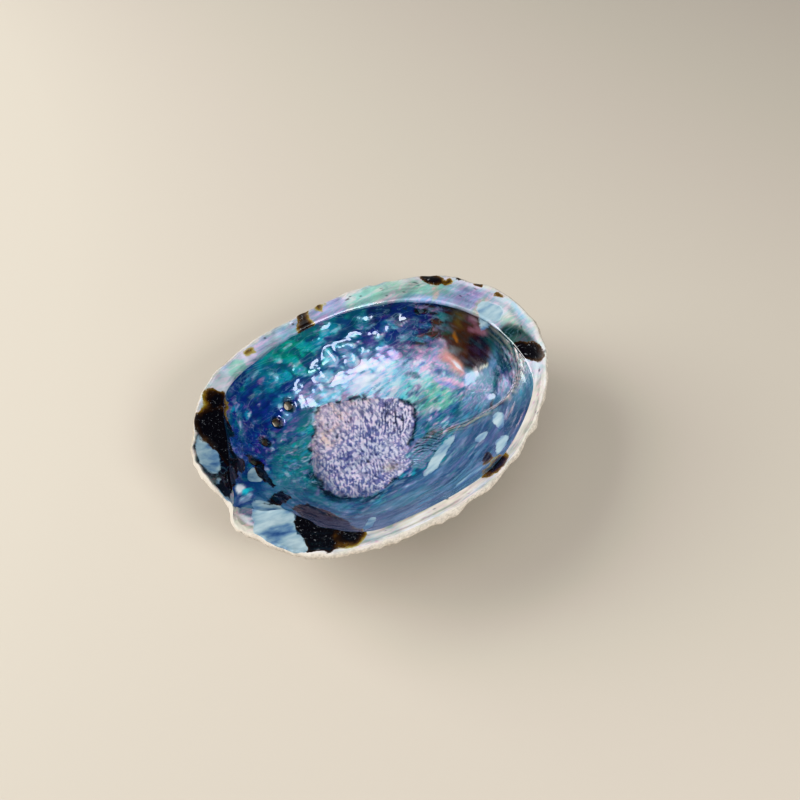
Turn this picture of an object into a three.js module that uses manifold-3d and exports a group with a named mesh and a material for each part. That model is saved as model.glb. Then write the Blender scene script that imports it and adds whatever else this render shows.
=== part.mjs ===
// Abalone shell lying on its back with the hollow up, grown as one piece.
// Lengths in millimetres, angles in degrees about the pole of the hollow, from +X towards +Y.
// +X runs along the shell to the spire end, +Y to the side with the flat shelf, +Z up.
import * as THREE from 'three';
import { mergeVertices } from 'three/addons/utils/BufferGeometryUtils.js';
import Module from 'manifold-3d';

// Driving dimensions
const marginHeight = 39;          // from the surface it lies on to the highest part of the margin
const marginRadius = 65.5;        // mean distance of the margin from the pole
const wallThickness = 3.8;        // of the shell's body, which thins to the margin
const marginThickness = 2.2;
const restDepth = 0.45;           // worn off the lowest part of the back
const floorHeight = wallThickness - restDepth;
const bodyTop = 33.5;             // height at which the body's hollow meets the shelf and the lip
const poreDiameters = [3.6, 3.4, 3.3, 3.1];

// How finely the surface is divided
const sectorCount = 96;
const basinRings = 13;
const edgeRings = 4;
const shelfRings = 3;
const roundingRings = 2;
const flareRings = 4;
const backRings = 11;
const basinCrowding = 1.2;        // packs the rings closer up the wall
const backCrowding = 1.1;
const pathSteps = 40;
const poreSides = 14;
const leanStep = 0.5;             // over which the slope of the back is measured, to each side

// Middle of the hollow, which all sections of the shell run out from
const pole = { x: -7, y: 3 };

// Margin: distance from the pole as a sum of waves, each [share of cosine, share of sine] of the mean
const marginWaves = [[0.0632, -0.0247], [0.1418, 0.0231], [0.0385, 0.0154], [-0.0046, 0.0123], [0.0123, 0]];
// Lobes and, with a negative height, bays of the margin
const marginLobes = [
  { angle: -175, width: 5, height: -3 },
  { angle: 165, width: 7, height: 1.8 },
  { angle: -165, width: 4.5, height: 2.2 },
  { angle: -143, width: 4, height: 1.2 },
  { angle: -118, width: 12, height: -0.6 },
  { angle: 90, width: 32, height: 1 },
];
// The margin dips at the notch and sways a little around the shell
const notchDip = { angle: -175, width: 4.5, height: -2.2 };
const sway = { angle: 60, height: 0.45 };

// Values around the shell, as [angle, value]
// From the even margin in to the hollow of the body
const bodyInset = aroundShell([
  [180, 9], [-174, 11], [-158, 9], [-120, 7.5], [-60, 5.5], [-28, 5.5], [-10, 11], [12, 14.5], [51, 9.6],
  [90, 5.4], [140, 7],
]);
// From the margin in to the edge of the shelf or lip
const shelfWidth = aroundShell([
  [180, 7], [174, 10], [163, 14], [150, 12], [135, 8.8], [112, 8], [90, 6.8], [70, 8], [51, 11], [31, 14.5],
  [15, 16], [0, 15], [-10, 12], [-18, 8.5], [-28, 6], [-55, 6.2], [-80, 7.6], [-100, 8.8], [-118, 9.2],
  [-133, 13], [-148, 18], [-158, 17.5], [-166, 13], [-171, 7], [-175, 2],
]);
// From the margin down to the edge of the shelf or lip
const shelfDrop = aroundShell([
  [180, 5], [165, 6], [150, 4.5], [130, 2.6], [90, 2.4], [30, 2.6], [0, 3], [-20, 3.6], [-90, 4.2],
  [-130, 5], [-150, 6.5], [-166, 5],
]);
// Thickness of that edge, which overhangs the wall on the shelf's side
const edgeHeight = aroundShell([
  [180, 0.6], [165, 1.2], [145, 2.2], [90, 2.8], [40, 3.2], [15, 2.8], [-5, 2], [-20, 0.8], [-60, 0.5],
  [-130, 0.6], [-150, 1.3], [-164, 1.3],
]);
// How steeply the wall turns up: a higher power gives a flatter floor and a steeper wall
const wallPower = aroundShell([
  [180, 2], [165, 2.2], [150, 2.7], [125, 3.2], [90, 3.4], [60, 3.6], [30, 4.2], [5, 4], [-15, 3],
  [-35, 2.2], [-60, 1.85], [-90, 1.75], [-130, 1.8], [-155, 1.9],
]);
const floorRounding = 0.16;       // share of the way out over which the floor stays rounded at the pole
const foldSharpness = 9;          // how close to the edge the wall leaves the even hollow

// Edge of the shelf, in shares of its thickness
const undercut = 0.55;
const edgeCurl = { lowBulge: 0.25, highBulge: 0.1, rise: 0.35, crown: 0.05, landing: 0.5 };
const edgeLanding = { run: 0.3, rise: 0.15 };
const shelfHollow = 1.15;         // above 1 the shelf is slightly hollow
const flare = { start: 0.45, endRun: 0.26, endRise: 0.23 };
const marginRounding = { run: 0.8, rise: 0.12, bulge: 0.25, share: 0.6 };

// Pit and rises of the inner surface: centre, half sizes along X and Y, and height
const pit = { x: 53, y: 11, length: 17, breadth: 17, height: -5.5 };
const saddle = { x: 24, y: 10, length: 13, breadth: 20, height: 2 };
const muscleScar = { x: -7, y: 6, length: 26, breadth: 20, height: 0.8 };
const edgeShyness = 10;           // how close to the wall's top the pit and the overlap still reach
const pitCopyOnBack = 0.75;       // share of the pit's depth that shows as a bulge on the back

// Step where the last whorl overlaps the one before, with the pit on the right hand of its path
const overlap = {
  path: smoothPath([
    [50, 32], [59, 20], [62.5, 6], [60.5, -7], [55, -16.5], [47.5, -19], [38.5, -15.8], [29, -12.3],
    [20, -8],
  ]),
  height: 4.2,
  face: 2.4,
  reach: 17,
  fadeIn: 0.3,
  fadeOut: 0.45,
};

// Canal from the last pore to the notch in the margin
const canal = {
  path: smoothPath([[-48, 18], [-58, 11], [-66, 2.5], [-78, -8]]),
  depth: 2.4,
  width: 3.2,
  fadeIn: 0.5,
  copyOnBack: 0.8,
};

// Row of pores: the last four are open, and the older ones are sealed with nacre
const openPores = [[-22.7, 36.5], [-30.8, 32.7], [-40.5, 25.8], [-49.8, 16.8]];
const sealedPores = [
  [-13.5, 39.5], [-3.7, 41.3], [4.4, 42], [12.8, 41.6], [21.1, 40], [28.4, 38.5], [34.4, 36.6],
];
const funnel = { depth: 1.1, width: 3.6 };
const seal = { height: 0.8, width: 3 };

// Ridge on the back along the pores, with a raised tube around each open one
const keel = {
  path: smoothPath([
    [-76, -7], [-66, 2.5], [-57.5, 10.5], ...openPores.slice().reverse(), ...sealedPores, [44, 33],
  ]),
  height: 1.6,
  width: 5,
  fadeIn: 0.1,
  fadeOut: 0.2,
};
const tube = { height: 1.5, width: 3.4 };

const shellColour = '#b9b3a4';

function ease(share) {
  const t = Math.min(1, Math.max(0, share));
  return t * t * (3 - 2 * t);
}

function bell(distance, width) {
  return Math.exp(-((distance / width) ** 2));
}

function turnBetween(from, to) {
  return ((to - from + 540) % 360 + 360) % 360 - 180;
}

function shares(count) {
  return Array.from({ length: count }, (_, i) => (i + 1) / count);
}

// A smooth curve around the shell through [angle, value] pairs, which never swings past its neighbours
function aroundShell(pairs) {
  const sorted = [...pairs].sort((a, b) => a[0] - b[0]);
  const count = sorted.length;
  const at = (i) => {
    const turns = Math.floor(i / count);
    const [angle, value] = sorted[i - turns * count];
    return { angle: angle + 360 * turns, value };
  };
  const slope = (i) => (at(i + 1).value - at(i).value) / (at(i + 1).angle - at(i).angle);
  const tangent = (i) => {
    const before = slope(i - 1);
    const after = slope(i);
    return before * after > 0 ? 2 * before * after / (before + after) : 0;
  };
  return (degrees) => {
    const first = sorted[0][0];
    const wrapped = ((degrees - first) % 360 + 360) % 360 + first;
    let i = 0;
    while (i < count - 1 && at(i + 1).angle <= wrapped) i += 1;
    const span = at(i + 1).angle - at(i).angle;
    const t = (wrapped - at(i).angle) / span;
    const rise = at(i + 1).value - at(i).value;
    const fromStart = tangent(i) * span * t * (1 - t) ** 2;
    const toEnd = tangent(i + 1) * span * t * t * (t - 1);
    return at(i).value + rise * ease(t) + fromStart + toEnd;
  };
}

function smoothPath(points) {
  const curve = new THREE.SplineCurve(points.map(([x, y]) => new THREE.Vector2(x, y)));
  return curve.getPoints(pathSteps);
}

// Nearest point of a path: signed distance, positive on the path's left, and share of its length there
function alongPath(place, path) {
  let nearest = { distance: Infinity, share: 0 };
  path.slice(1).forEach((end, i) => {
    const start = path[i];
    const step = end.clone().sub(start);
    const offset = new THREE.Vector2(place.x, place.y).sub(start);
    const t = Math.min(1, Math.max(0, offset.dot(step) / step.lengthSq()));
    const side = Math.sign(step.cross(offset)) || 1;
    const distance = offset.sub(step.clone().multiplyScalar(t)).length();
    const share = (i + t) / (path.length - 1);
    if (distance < Math.abs(nearest.distance)) nearest = { distance: side * distance, share };
  });
  return nearest;
}

function inPlan(radius, degrees) {
  const angle = THREE.MathUtils.degToRad(degrees);
  return { x: pole.x + radius * Math.cos(angle), y: pole.y + radius * Math.sin(angle) };
}

function mound(place, { x, y, length, breadth, height }) {
  return height * Math.exp(-(((place.x - x) / length) ** 2) - ((place.y - y) / breadth) ** 2);
}

function moundsAt(place, pores, height, width) {
  return pores.reduce((sum, [x, y]) => sum + height * bell(Math.hypot(place.x - x, place.y - y), width), 0);
}

// Distance of the margin from the pole, without and with its lobes
function evenMargin(degrees) {
  const angle = THREE.MathUtils.degToRad(degrees);
  const addWave = (sum, [cosine, sine], i) => {
    const turn = (i + 1) * angle;
    return sum + cosine * Math.cos(turn) + sine * Math.sin(turn);
  };
  return marginRadius * marginWaves.reduce(addWave, 1);
}

function lobeAt(degrees, { angle, width, height }) {
  return height * bell(turnBetween(angle, degrees), width);
}

function marginAt(degrees) {
  return marginLobes.reduce((sum, lobe) => sum + lobeAt(degrees, lobe), evenMargin(degrees));
}

function marginHeightAt(degrees) {
  const swing = Math.cos(THREE.MathUtils.degToRad(2 * (degrees - sway.angle)));
  return marginHeight - sway.height * (1 - swing) + lobeAt(degrees, notchDip);
}

// Top of the wall, under the edge of the shelf
function wallRadius(degrees) {
  return marginAt(degrees) - shelfWidth(degrees) + undercut * edgeHeight(degrees);
}

function wallTop(degrees) {
  return marginHeightAt(degrees) - shelfDrop(degrees) - edgeHeight(degrees);
}

// Radius of the body's hollow, which the margin's lobes and folds don't reach
function bodyRadius(degrees) {
  return evenMargin(degrees) - bodyInset(degrees);
}

// Even hollow: its height grows as a power of the share of the way out, rounded off at the pole
function evenHollow(radius, degrees) {
  const share = radius / bodyRadius(degrees);
  const half = wallPower(degrees) / 2;
  const rounding = floorRounding ** 2;
  const low = rounding ** half;
  const rise = ((share * share + rounding) ** half - low) / ((1 + rounding) ** half - low);
  return floorHeight + (bodyTop - floorHeight) * rise;
}

// How far the wall leaves the even hollow to reach the edge above it
function foldLift(share, degrees) {
  return (wallTop(degrees) - evenHollow(wallRadius(degrees), degrees)) * share ** foldSharpness;
}

function stepAtOverlap(place) {
  const { distance, share } = alongPath(place, overlap.path);
  if (distance > 0) return 0;
  const height = overlap.height * ease(share / overlap.fadeIn) * ease((1 - share) / overlap.fadeOut);
  return -height * ease(-distance / overlap.face) * bell(distance + overlap.face, overlap.reach);
}

function canalCut(place) {
  const { distance, share } = alongPath(place, canal.path);
  return -canal.depth * ease(share / canal.fadeIn) * bell(distance, canal.width);
}

// Height of the inner surface at a share of the way from the pole to the top of the wall
function innerHeight(share, degrees) {
  const radius = share * wallRadius(degrees);
  const place = inPlan(radius, degrees);
  const hollows = (mound(place, pit) + stepAtOverlap(place)) * (1 - share ** edgeShyness);
  const rises = mound(place, saddle) + mound(place, muscleScar);
  const seals = moundsAt(place, sealedPores, seal.height, seal.width);
  const funnels = moundsAt(place, openPores, -funnel.depth, funnel.width);
  const small = seals + funnels + canalCut(place);
  return evenHollow(radius, degrees) + foldLift(share, degrees) + hollows + rises + small;
}

// Points along a cubic arc in the plane of a section, without its start
function arc(start, startPull, endPull, end, count) {
  const corners = [start, startPull, endPull, end].map((point) => new THREE.Vector2(...point));
  const curve = new THREE.CubicBezierCurve(...corners);
  return curve.getPoints(count).slice(1).map((point) => [point.x, point.y]);
}

// Inner half of the section at one angle, from beside the pole out to the top of the margin
function innerSection(degrees) {
  const basin = shares(basinRings).map((t) => {
    const share = 1 - (1 - t) ** basinCrowding;
    return [share * wallRadius(degrees), innerHeight(share, degrees)];
  });
  const margin = marginAt(degrees);
  const edge = margin - shelfWidth(degrees);
  const lip = edgeHeight(degrees);
  const cut = canalCut(inPlan(edge, degrees));
  const underEdge = [edge - edgeCurl.lowBulge * lip, wallTop(degrees) + edgeCurl.rise * lip + cut];
  const shelfLow = marginHeightAt(degrees) - shelfDrop(degrees);
  const overEdge = [edge - edgeCurl.highBulge * lip, shelfLow + edgeCurl.crown * lip + cut];
  const landingRadius = edge + edgeCurl.landing * lip + edgeLanding.run;
  const landingHeight = shelfLow + edgeLanding.rise;
  const shelfEdge = arc(basin.at(-1), underEdge, overEdge, [landingRadius, landingHeight + cut], edgeRings);
  const shelfEnd = margin - marginThickness * marginRounding.share;
  const shelf = shares(shelfRings).map((t) => {
    const radius = landingRadius + (shelfEnd - landingRadius) * t;
    const height = landingHeight + (marginHeightAt(degrees) - landingHeight) * t ** shelfHollow;
    return [radius, height + canalCut(inPlan(radius, degrees))];
  });
  return [...basin, ...shelfEdge, ...shelf];
}

// Thickness of the wall, more along the keel of the pore row and at its raised tubes
function thicknessAt(place) {
  const { distance, share } = alongPath(place, keel.path);
  const ridge = ease(share / keel.fadeIn) * ease((1 - share) / keel.fadeOut) * bell(distance, keel.width);
  return wallThickness + keel.height * ridge + moundsAt(place, openPores, tube.height, tube.width);
}

// Height of the surface that the back follows at the thickness of the wall
function backGuide(radius, degrees) {
  const place = inPlan(radius, degrees);
  const bulge = pitCopyOnBack * mound(place, pit) * (1 - (radius / bodyRadius(degrees)) ** edgeShyness);
  const dip = Math.min(0, foldLift(radius / wallRadius(degrees), degrees));
  return evenHollow(radius, degrees) + bulge + dip + canal.copyOnBack * canalCut(place);
}

// Outer half of the section, from beside the lowest point out to the underside of the margin
function outerSection(degrees) {
  const reach = bodyRadius(degrees);
  const leanAt = (radius) => {
    const rise = backGuide(radius + leanStep, degrees) - backGuide(radius - leanStep, degrees);
    return Math.atan2(rise, 2 * leanStep);
  };
  const back = shares(backRings).map((t) => {
    const radius = reach * (1 - (1 - t) ** backCrowding);
    const thickness = thicknessAt(inPlan(radius, degrees));
    const lean = leanAt(radius);
    return [radius + thickness * Math.sin(lean), backGuide(radius, degrees) - thickness * Math.cos(lean)];
  });
  const margin = marginAt(degrees);
  const underside = marginHeightAt(degrees) - marginThickness + canalCut(inPlan(margin, degrees));
  const [radiusHere, heightHere] = back.at(-1);
  const length = Math.hypot(margin - radiusHere, underside - heightHere);
  const pull = flare.start * length;
  const lean = leanAt(reach);
  const leaving = [radiusHere + pull * Math.cos(lean), heightHere + pull * Math.sin(lean)];
  const arriving = [margin - flare.endRun * length, underside - flare.endRise * length];
  return [...back, ...arc(back.at(-1), leaving, arriving, [margin, underside], flareRings)];
}

// Whole section: inner half, rounded margin, then the outer half back to the lowest point
function section(degrees) {
  const inner = innerSection(degrees);
  const outer = outerSection(degrees);
  const [innerRadius, innerTop] = inner.at(-1);
  const [outerRadius, outerTop] = outer.at(-1);
  const leaving = [innerRadius + marginRounding.run, innerTop + marginRounding.rise];
  const arriving = [outerRadius + marginRounding.bulge, outerTop + marginThickness * marginRounding.share];
  const rounding = arc(inner.at(-1), leaving, arriving, outer.at(-1), roundingRings + 1).slice(0, -1);
  return [...inner, ...rounding, ...outer.reverse()];
}

// Closed surface: a ring of points for each step of the section, with a pole inside and one below
function shellGeometry() {
  const innerPole = [pole.x, pole.y, innerHeight(0, 0)];
  const outerPole = [pole.x, pole.y, evenHollow(0, 0) - wallThickness];
  const sections = shares(sectorCount).map((t) => section(360 * t).map(([radius, height]) => {
    const { x, y } = inPlan(radius, 360 * t);
    return [x, y, height];
  }));
  const ringCount = sections[0].length;
  const rings = Array.from({ length: ringCount }, (_, ring) => sections.map((points) => points[ring]));
  const positions = [innerPole, ...rings.flat(), outerPole].flat();
  const at = (ring, sector) => 1 + ring * sectorCount + sector % sectorCount;
  const last = 1 + ringCount * sectorCount;
  const faces = [];
  for (let sector = 0; sector < sectorCount; sector += 1) {
    faces.push(0, at(0, sector), at(0, sector + 1));
    faces.push(at(ringCount - 1, sector), last, at(ringCount - 1, sector + 1));
    for (let ring = 0; ring < ringCount - 1; ring += 1) {
      faces.push(at(ring, sector), at(ring + 1, sector), at(ring + 1, sector + 1));
      faces.push(at(ring, sector), at(ring + 1, sector + 1), at(ring, sector + 1));
    }
  }
  const geometry = new THREE.BufferGeometry();
  geometry.setAttribute('position', new THREE.Float32BufferAttribute(positions, 3));
  geometry.setIndex(faces);
  return geometry;
}

// Wears the lowest part of the back flat
function wearBack(geometry) {
  const position = geometry.getAttribute('position');
  geometry.computeBoundingBox();
  const ground = geometry.boundingBox.min.z + restDepth;
  for (let i = 0; i < position.count; i += 1) position.setZ(i, Math.max(ground, position.getZ(i)));
}

// A pore's cutter: a round bar through the wall, square to the even hollow there
function poreCutter([x, y], diameter) {
  const angle = Math.atan2(y - pole.y, x - pole.x);
  const degrees = THREE.MathUtils.radToDeg(angle);
  const radius = Math.hypot(x - pole.x, y - pole.y);
  const slope = (evenHollow(radius + 1, degrees) - evenHollow(radius - 1, degrees)) / 2;
  const axis = new THREE.Vector3(-slope * Math.cos(angle), -slope * Math.sin(angle), 1).normalize();
  const bar = new THREE.CylinderGeometry(diameter / 2, diameter / 2, 6 * wallThickness, poreSides);
  bar.applyQuaternion(new THREE.Quaternion().setFromUnitVectors(new THREE.Vector3(0, 1, 0), axis));
  bar.translate(x, y, evenHollow(radius, degrees));
  return bar;
}

const wasm = await Module();
wasm.setup();

function solidFrom(geometry) {
  const bare = geometry.clone();
  bare.deleteAttribute('normal');
  bare.deleteAttribute('uv');
  const merged = mergeVertices(bare);
  const vertProperties = new Float32Array(merged.getAttribute('position').array);
  const triVerts = new Uint32Array(merged.index.array);
  return new wasm.Manifold(new wasm.Mesh({ numProp: 3, vertProperties, triVerts }));
}

function geometryFrom(solid) {
  const mesh = solid.getMesh();
  const geometry = new THREE.BufferGeometry();
  geometry.setAttribute('position', new THREE.BufferAttribute(mesh.vertProperties, 3));
  geometry.setIndex(new THREE.BufferAttribute(mesh.triVerts, 1));
  geometry.computeVertexNormals();
  return geometry;
}

function makeShell() {
  const blank = shellGeometry();
  wearBack(blank);
  const pierce = (solid, pore, i) => solid.subtract(solidFrom(poreCutter(pore, poreDiameters[i])));
  const geometry = geometryFrom(openPores.reduce(pierce, solidFrom(blank)));
  const material = new THREE.MeshStandardMaterial({ color: shellColour, roughness: 0.35, metalness: 0 });
  const shell = new THREE.Mesh(geometry, material);
  shell.name = 'shell';
  // The origin lies under the middle of the shell's box
  geometry.computeBoundingBox();
  const { min, max } = geometry.boundingBox;
  shell.position.set(-(min.x + max.x) / 2, -(min.y + max.y) / 2, -min.z);
  return shell;
}

const abalone = new THREE.Group();
abalone.add(makeShell());

export default abalone;
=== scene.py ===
import itertools
import math

import bpy
import numpy as np
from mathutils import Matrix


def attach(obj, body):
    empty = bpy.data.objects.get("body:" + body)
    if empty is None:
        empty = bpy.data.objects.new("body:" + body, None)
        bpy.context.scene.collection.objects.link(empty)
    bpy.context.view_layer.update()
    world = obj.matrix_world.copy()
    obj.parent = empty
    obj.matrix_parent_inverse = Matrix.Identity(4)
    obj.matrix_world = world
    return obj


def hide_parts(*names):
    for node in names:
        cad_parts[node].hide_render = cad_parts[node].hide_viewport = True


# Abalone shell lying on its back. The surface is worked out in millimetres and in degrees about the
# pole of the hollow, from +X (the spire end) towards +Y (the shelf), then moved onto the CAD frame.

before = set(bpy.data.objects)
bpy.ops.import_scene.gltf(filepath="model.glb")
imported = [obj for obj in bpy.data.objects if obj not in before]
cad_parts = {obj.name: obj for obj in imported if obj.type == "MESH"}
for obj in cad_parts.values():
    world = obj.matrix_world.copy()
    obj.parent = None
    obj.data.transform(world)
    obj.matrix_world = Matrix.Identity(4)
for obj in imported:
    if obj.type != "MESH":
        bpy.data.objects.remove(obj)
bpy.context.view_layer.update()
print("frame loaded")

mm = 0.001

sizes = {
    "marginHeight": 39.0,       # from the table to the highest part of the margin
    "marginRadius": 65.5,       # mean distance of the margin from the pole
    "wallThickness": 3.8,
    "marginThickness": 2.2,
    "restDepth": 0.45,          # worn off the lowest part of the back
    "bodyTop": 33.5,            # where the body's hollow meets the shelf and the lip
    "floorRounding": 0.16,
    "foldSharpness": 9,
    "undercut": 0.55,
    "pole": (-7.0, 3.0),
    "sectors": 400,
    "basinRings": 128,
    "edgeRings": 10,
    "shelfRings": 22,
    "roundingRings": 8,
    "flareRings": 14,
    "backRings": 54,
}
poleX, poleY = sizes["pole"]
formShift = (0.0962, -0.8793)   # from the form's own origin to the middle of the CAD box
floorHeight = sizes["wallThickness"] - sizes["restDepth"]

# Margin as waves, each [share of cosine, share of sine], then lobes and bays [angle, width, height]
marginWaves = [[0.0632, -0.0247], [0.1418, 0.0231], [0.0385, 0.0154], [-0.0046, 0.0123], [0.0123, 0]]
marginLobes = [
    [-175, 5, -3], [165, 7, 1.8], [-165, 4.5, 2.2], [-143, 4, 1.2], [-118, 12, -0.6], [90, 32, 1]]
notchDip = [-175, 4.5, -2.2]
swayAngle, swayHeight = 60, 0.45        # at right angles to the bearing it dips by twice the height

# Values around the shell, as [angle, value]
around = {
    "bodyInset": [
        [180, 9], [-174, 11], [-158, 9], [-120, 7.5], [-60, 5.5], [-28, 5.5], [-10, 11], [12, 14.5],
        [51, 9.6], [90, 5.4], [140, 7]],
    "shelfWidth": [
        [180, 7], [174, 10], [163, 14], [150, 12], [135, 8.8], [112, 8], [90, 6.8], [70, 8], [51, 11],
        [31, 14.5], [15, 16], [0, 15], [-10, 12], [-18, 8.5], [-28, 6], [-55, 6.2], [-80, 7.6],
        [-100, 8.8], [-118, 9.2], [-133, 13], [-148, 18], [-158, 17.5], [-166, 13], [-171, 7], [-175, 2]],
    "shelfDrop": [
        [180, 5], [165, 6], [150, 4.5], [130, 2.6], [90, 2.4], [30, 2.6], [0, 3], [-20, 3.6], [-90, 4.2],
        [-130, 5], [-150, 6.5], [-166, 5]],
    "edgeHeight": [
        [180, 0.6], [165, 1.2], [145, 2.2], [90, 2.8], [40, 3.2], [15, 2.8], [-5, 2], [-20, 0.8],
        [-60, 0.5], [-130, 0.6], [-150, 1.3], [-164, 1.3]],
    "wallPower": [
        [180, 2], [165, 2.2], [150, 2.7], [125, 3.2], [90, 3.4], [60, 3.6], [30, 4.2], [5, 4], [-15, 3],
        [-35, 2.2], [-60, 1.85], [-90, 1.75], [-130, 1.8], [-155, 1.9]],
}

edgeCurl = {"lowBulge": 0.25, "highBulge": 0.1, "rise": 0.35, "crown": 0.05, "landing": 0.5}
edgeLanding = {"run": 0.3, "rise": 0.15}
flare = {"start": 0.45, "endRun": 0.26, "endRise": 0.23}
marginRounding = {"run": 0.8, "rise": 0.12, "bulge": 0.25, "share": 0.6}

# Mounds as [x, y, half length, half breadth, height]
pit = [53, 11, 17, 17, -5.5]
saddle = [24, 10, 13, 20, 2]
scarMound = [-7, 6, 26, 20, 0.8]

# Step of the overlap and cut of the canal, with the distance over which each fades
step = {"height": 4.2, "run": 2.4, "reach": 17}
canal = {"depth": 2.4, "width": 3.2}

openPores = [[-22.7, 36.5], [-30.8, 32.7], [-40.5, 25.8], [-49.8, 16.8]]
poreDiameters = [3.6, 3.4, 3.3, 3.1]
poreFunnel = (-1.1, 3.6)        # height and width of the dip round an open pore, seen from inside
poreTube = (1.5, 3.4)           # the same of the raised tube on the back
poreSeal = (0.8, 3)             # the same of a sealed pore's rise
keelRidge = {"height": 1.6, "width": 5}
sealedPores = [[-13.5, 39.5], [-3.7, 41.3], [4.4, 42], [12.8, 41.6], [21.1, 40], [28.4, 38.5], [34.4, 36.6]]
paths = {
    "overlap": [
        [50, 32], [59, 20], [62.5, 6], [60.5, -7], [55, -16.5], [47.5, -19], [38.5, -15.8], [29, -12.3],
        [20, -8]],
    "canal": [[-48, 18], [-58, 11], [-66, 2.5], [-78, -8]],
    "keel": [[-76, -7], [-66, 2.5], [-57.5, 10.5]] + openPores[::-1] + sealedPores + [[44, 33]],
}


# 3t^2 - 2t^3 between 0 and 1
def ease(share):
    t = np.clip(share, 0, 1)
    return t * t * (3 - 2 * t)


# From the first to the second by a share
def blend(first, second, share):
    return first + (second - first) * share


# e to the power of minus the square of the distance in widths
def bell(distance, width):
    return np.exp(-((distance / width) ** 2))


# Values between the [angle, value] pairs follow a cubic whose slope at a pair is the harmonic mean of
# the slopes to its neighbours, or 0 where they differ in sign
def aroundShell(name, degrees):
    pairs = np.array(sorted(around[name]), float)
    angles = np.concatenate([pairs[-1:, 0] - 360, pairs[:, 0], pairs[:2, 0] + 360])
    values = np.concatenate([pairs[-1:, 1], pairs[:, 1], pairs[:2, 1]])
    slopes = np.diff(values) / np.diff(angles)
    before, after = slopes[:-1], slopes[1:]
    total = np.where(before + after == 0, 1, before + after)
    tangents = np.where(before * after > 0, 2 * before * after / total, 0)
    wrapped = (degrees - pairs[0, 0]) % 360 + pairs[0, 0]
    i = np.clip(np.searchsorted(pairs[:, 0], wrapped, side="right") - 1, 0, len(pairs) - 1)
    span = angles[i + 2] - angles[i + 1]
    t = (wrapped - angles[i + 1]) / span
    nextTangent = np.append(tangents, tangents[0])[i + 1]
    bend = tangents[i] * span * t * (1 - t) ** 2 + nextTangent * span * t * t * (t - 1)
    return values[i + 1] + (values[i + 2] - values[i + 1]) * ease(t) + bend


# Catmull-Rom curve through the points, with its end points doubled, in 40 steps
def smoothPath(points):
    points = np.array(points, float)
    steps = np.linspace(0, len(points) - 1, 41)
    i = np.minimum(steps.astype(int), len(points) - 1)
    t = (steps - i)[:, None]
    last = len(points) - 1
    p0, p1 = points[np.maximum(i - 1, 0)], points[i]
    p2, p3 = points[np.minimum(i + 1, last)], points[np.minimum(i + 2, last)]
    v0, v1 = (p2 - p0) / 2, (p3 - p1) / 2
    return (2 * p1 - 2 * p2 + v0 + v1) * t**3 + (3 * p2 - 3 * p1 - 2 * v0 - v1) * t**2 + v0 * t + p1


# Signed distance to a path, positive on its left, and the share of its length at the nearest point
def alongPath(x, y, name):
    path = smoothPath(paths[name])
    distance = np.full(np.shape(x), 1e9)
    share = np.zeros(np.shape(x))
    for i in range(len(path) - 1):
        stepX, stepY = path[i + 1] - path[i]
        offX, offY = x - path[i, 0], y - path[i, 1]
        t = np.clip((offX * stepX + offY * stepY) / (stepX**2 + stepY**2), 0, 1)
        side = np.where(stepX * offY - stepY * offX < 0, -1, 1)
        here = np.hypot(offX - t * stepX, offY - t * stepY)
        nearer = here < np.abs(distance)
        distance = np.where(nearer, side * here, distance)
        share = np.where(nearer, (i + t) / (len(path) - 1), share)
    return distance, share


# A bell about an angle, by the shorter way round
def bellAround(degrees, angle, width):
    return bell((degrees - angle + 540) % 360 - 180, width)


# Plan position at a radius and an angle about the pole
def inPlan(radius, degrees):
    angle = np.radians(degrees)
    return poleX + radius * np.cos(angle), poleY + radius * np.sin(angle)


# A bell with its own length and breadth
def mound(x, y, shape):
    centreX, centreY, length, breadth, height = shape
    return height * np.exp(-(((x - centreX) / length) ** 2) - ((y - centreY) / breadth) ** 2)


# Round bells of one height at every place, added up
def moundsAt(x, y, places, height, width):
    return sum(height * bell(np.hypot(x - px, y - py), width) for px, py in places)


# Sum of the margin's waves about its mean radius
def evenMargin(degrees):
    angle = np.radians(degrees)
    total = 1
    for i, (cosine, sine) in enumerate(marginWaves):
        total = total + cosine * np.cos((i + 1) * angle) + sine * np.sin((i + 1) * angle)
    return sizes["marginRadius"] * total


# A lobe or a bay, as a bell about its angle
def lobeAt(degrees, lobe):
    angle, width, height = lobe
    return height * bellAround(degrees, angle, width)


# Radius of the margin: waves and lobes added up
def marginAt(degrees):
    return evenMargin(degrees) + sum(lobeAt(degrees, lobe) for lobe in marginLobes)


# Height of the margin: a sway of two waves round the shell, and the notch
def marginHeightAt(degrees):
    swing = np.cos(np.radians(2 * (degrees - swayAngle)))
    return sizes["marginHeight"] - swayHeight * (1 - swing) + lobeAt(degrees, notchDip)


# Where the wall ends under the shelf's edge, which hangs over it by a share of its own height
def wallRadius(degrees):
    edge = sizes["undercut"] * aroundShell("edgeHeight", degrees)
    return marginAt(degrees) - aroundShell("shelfWidth", degrees) + edge


# Height of the wall's top: the margin's less the drop of the shelf and the height of its edge
def wallTop(degrees):
    return marginHeightAt(degrees) - aroundShell("shelfDrop", degrees) - aroundShell("edgeHeight", degrees)


# Radius at which the even hollow reaches its top
def bodyRadius(degrees):
    return evenMargin(degrees) - aroundShell("bodyInset", degrees)


# Even hollow: height grows as a power of the share of the way out, rounded off at the pole
def evenHollow(radius, degrees):
    share = radius / bodyRadius(degrees)
    half = aroundShell("wallPower", degrees) / 2
    rounding = sizes["floorRounding"] ** 2
    low = rounding**half
    rise = ((share * share + rounding) ** half - low) / ((1 + rounding) ** half - low)
    return floorHeight + (sizes["bodyTop"] - floorHeight) * rise


# Lift that takes the even hollow to the edge above it, as a high power of the share of the way out
def foldLift(share, degrees):
    gap = wallTop(degrees) - evenHollow(wallRadius(degrees), degrees)
    return gap * np.maximum(share, 0) ** sizes["foldSharpness"]


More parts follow.
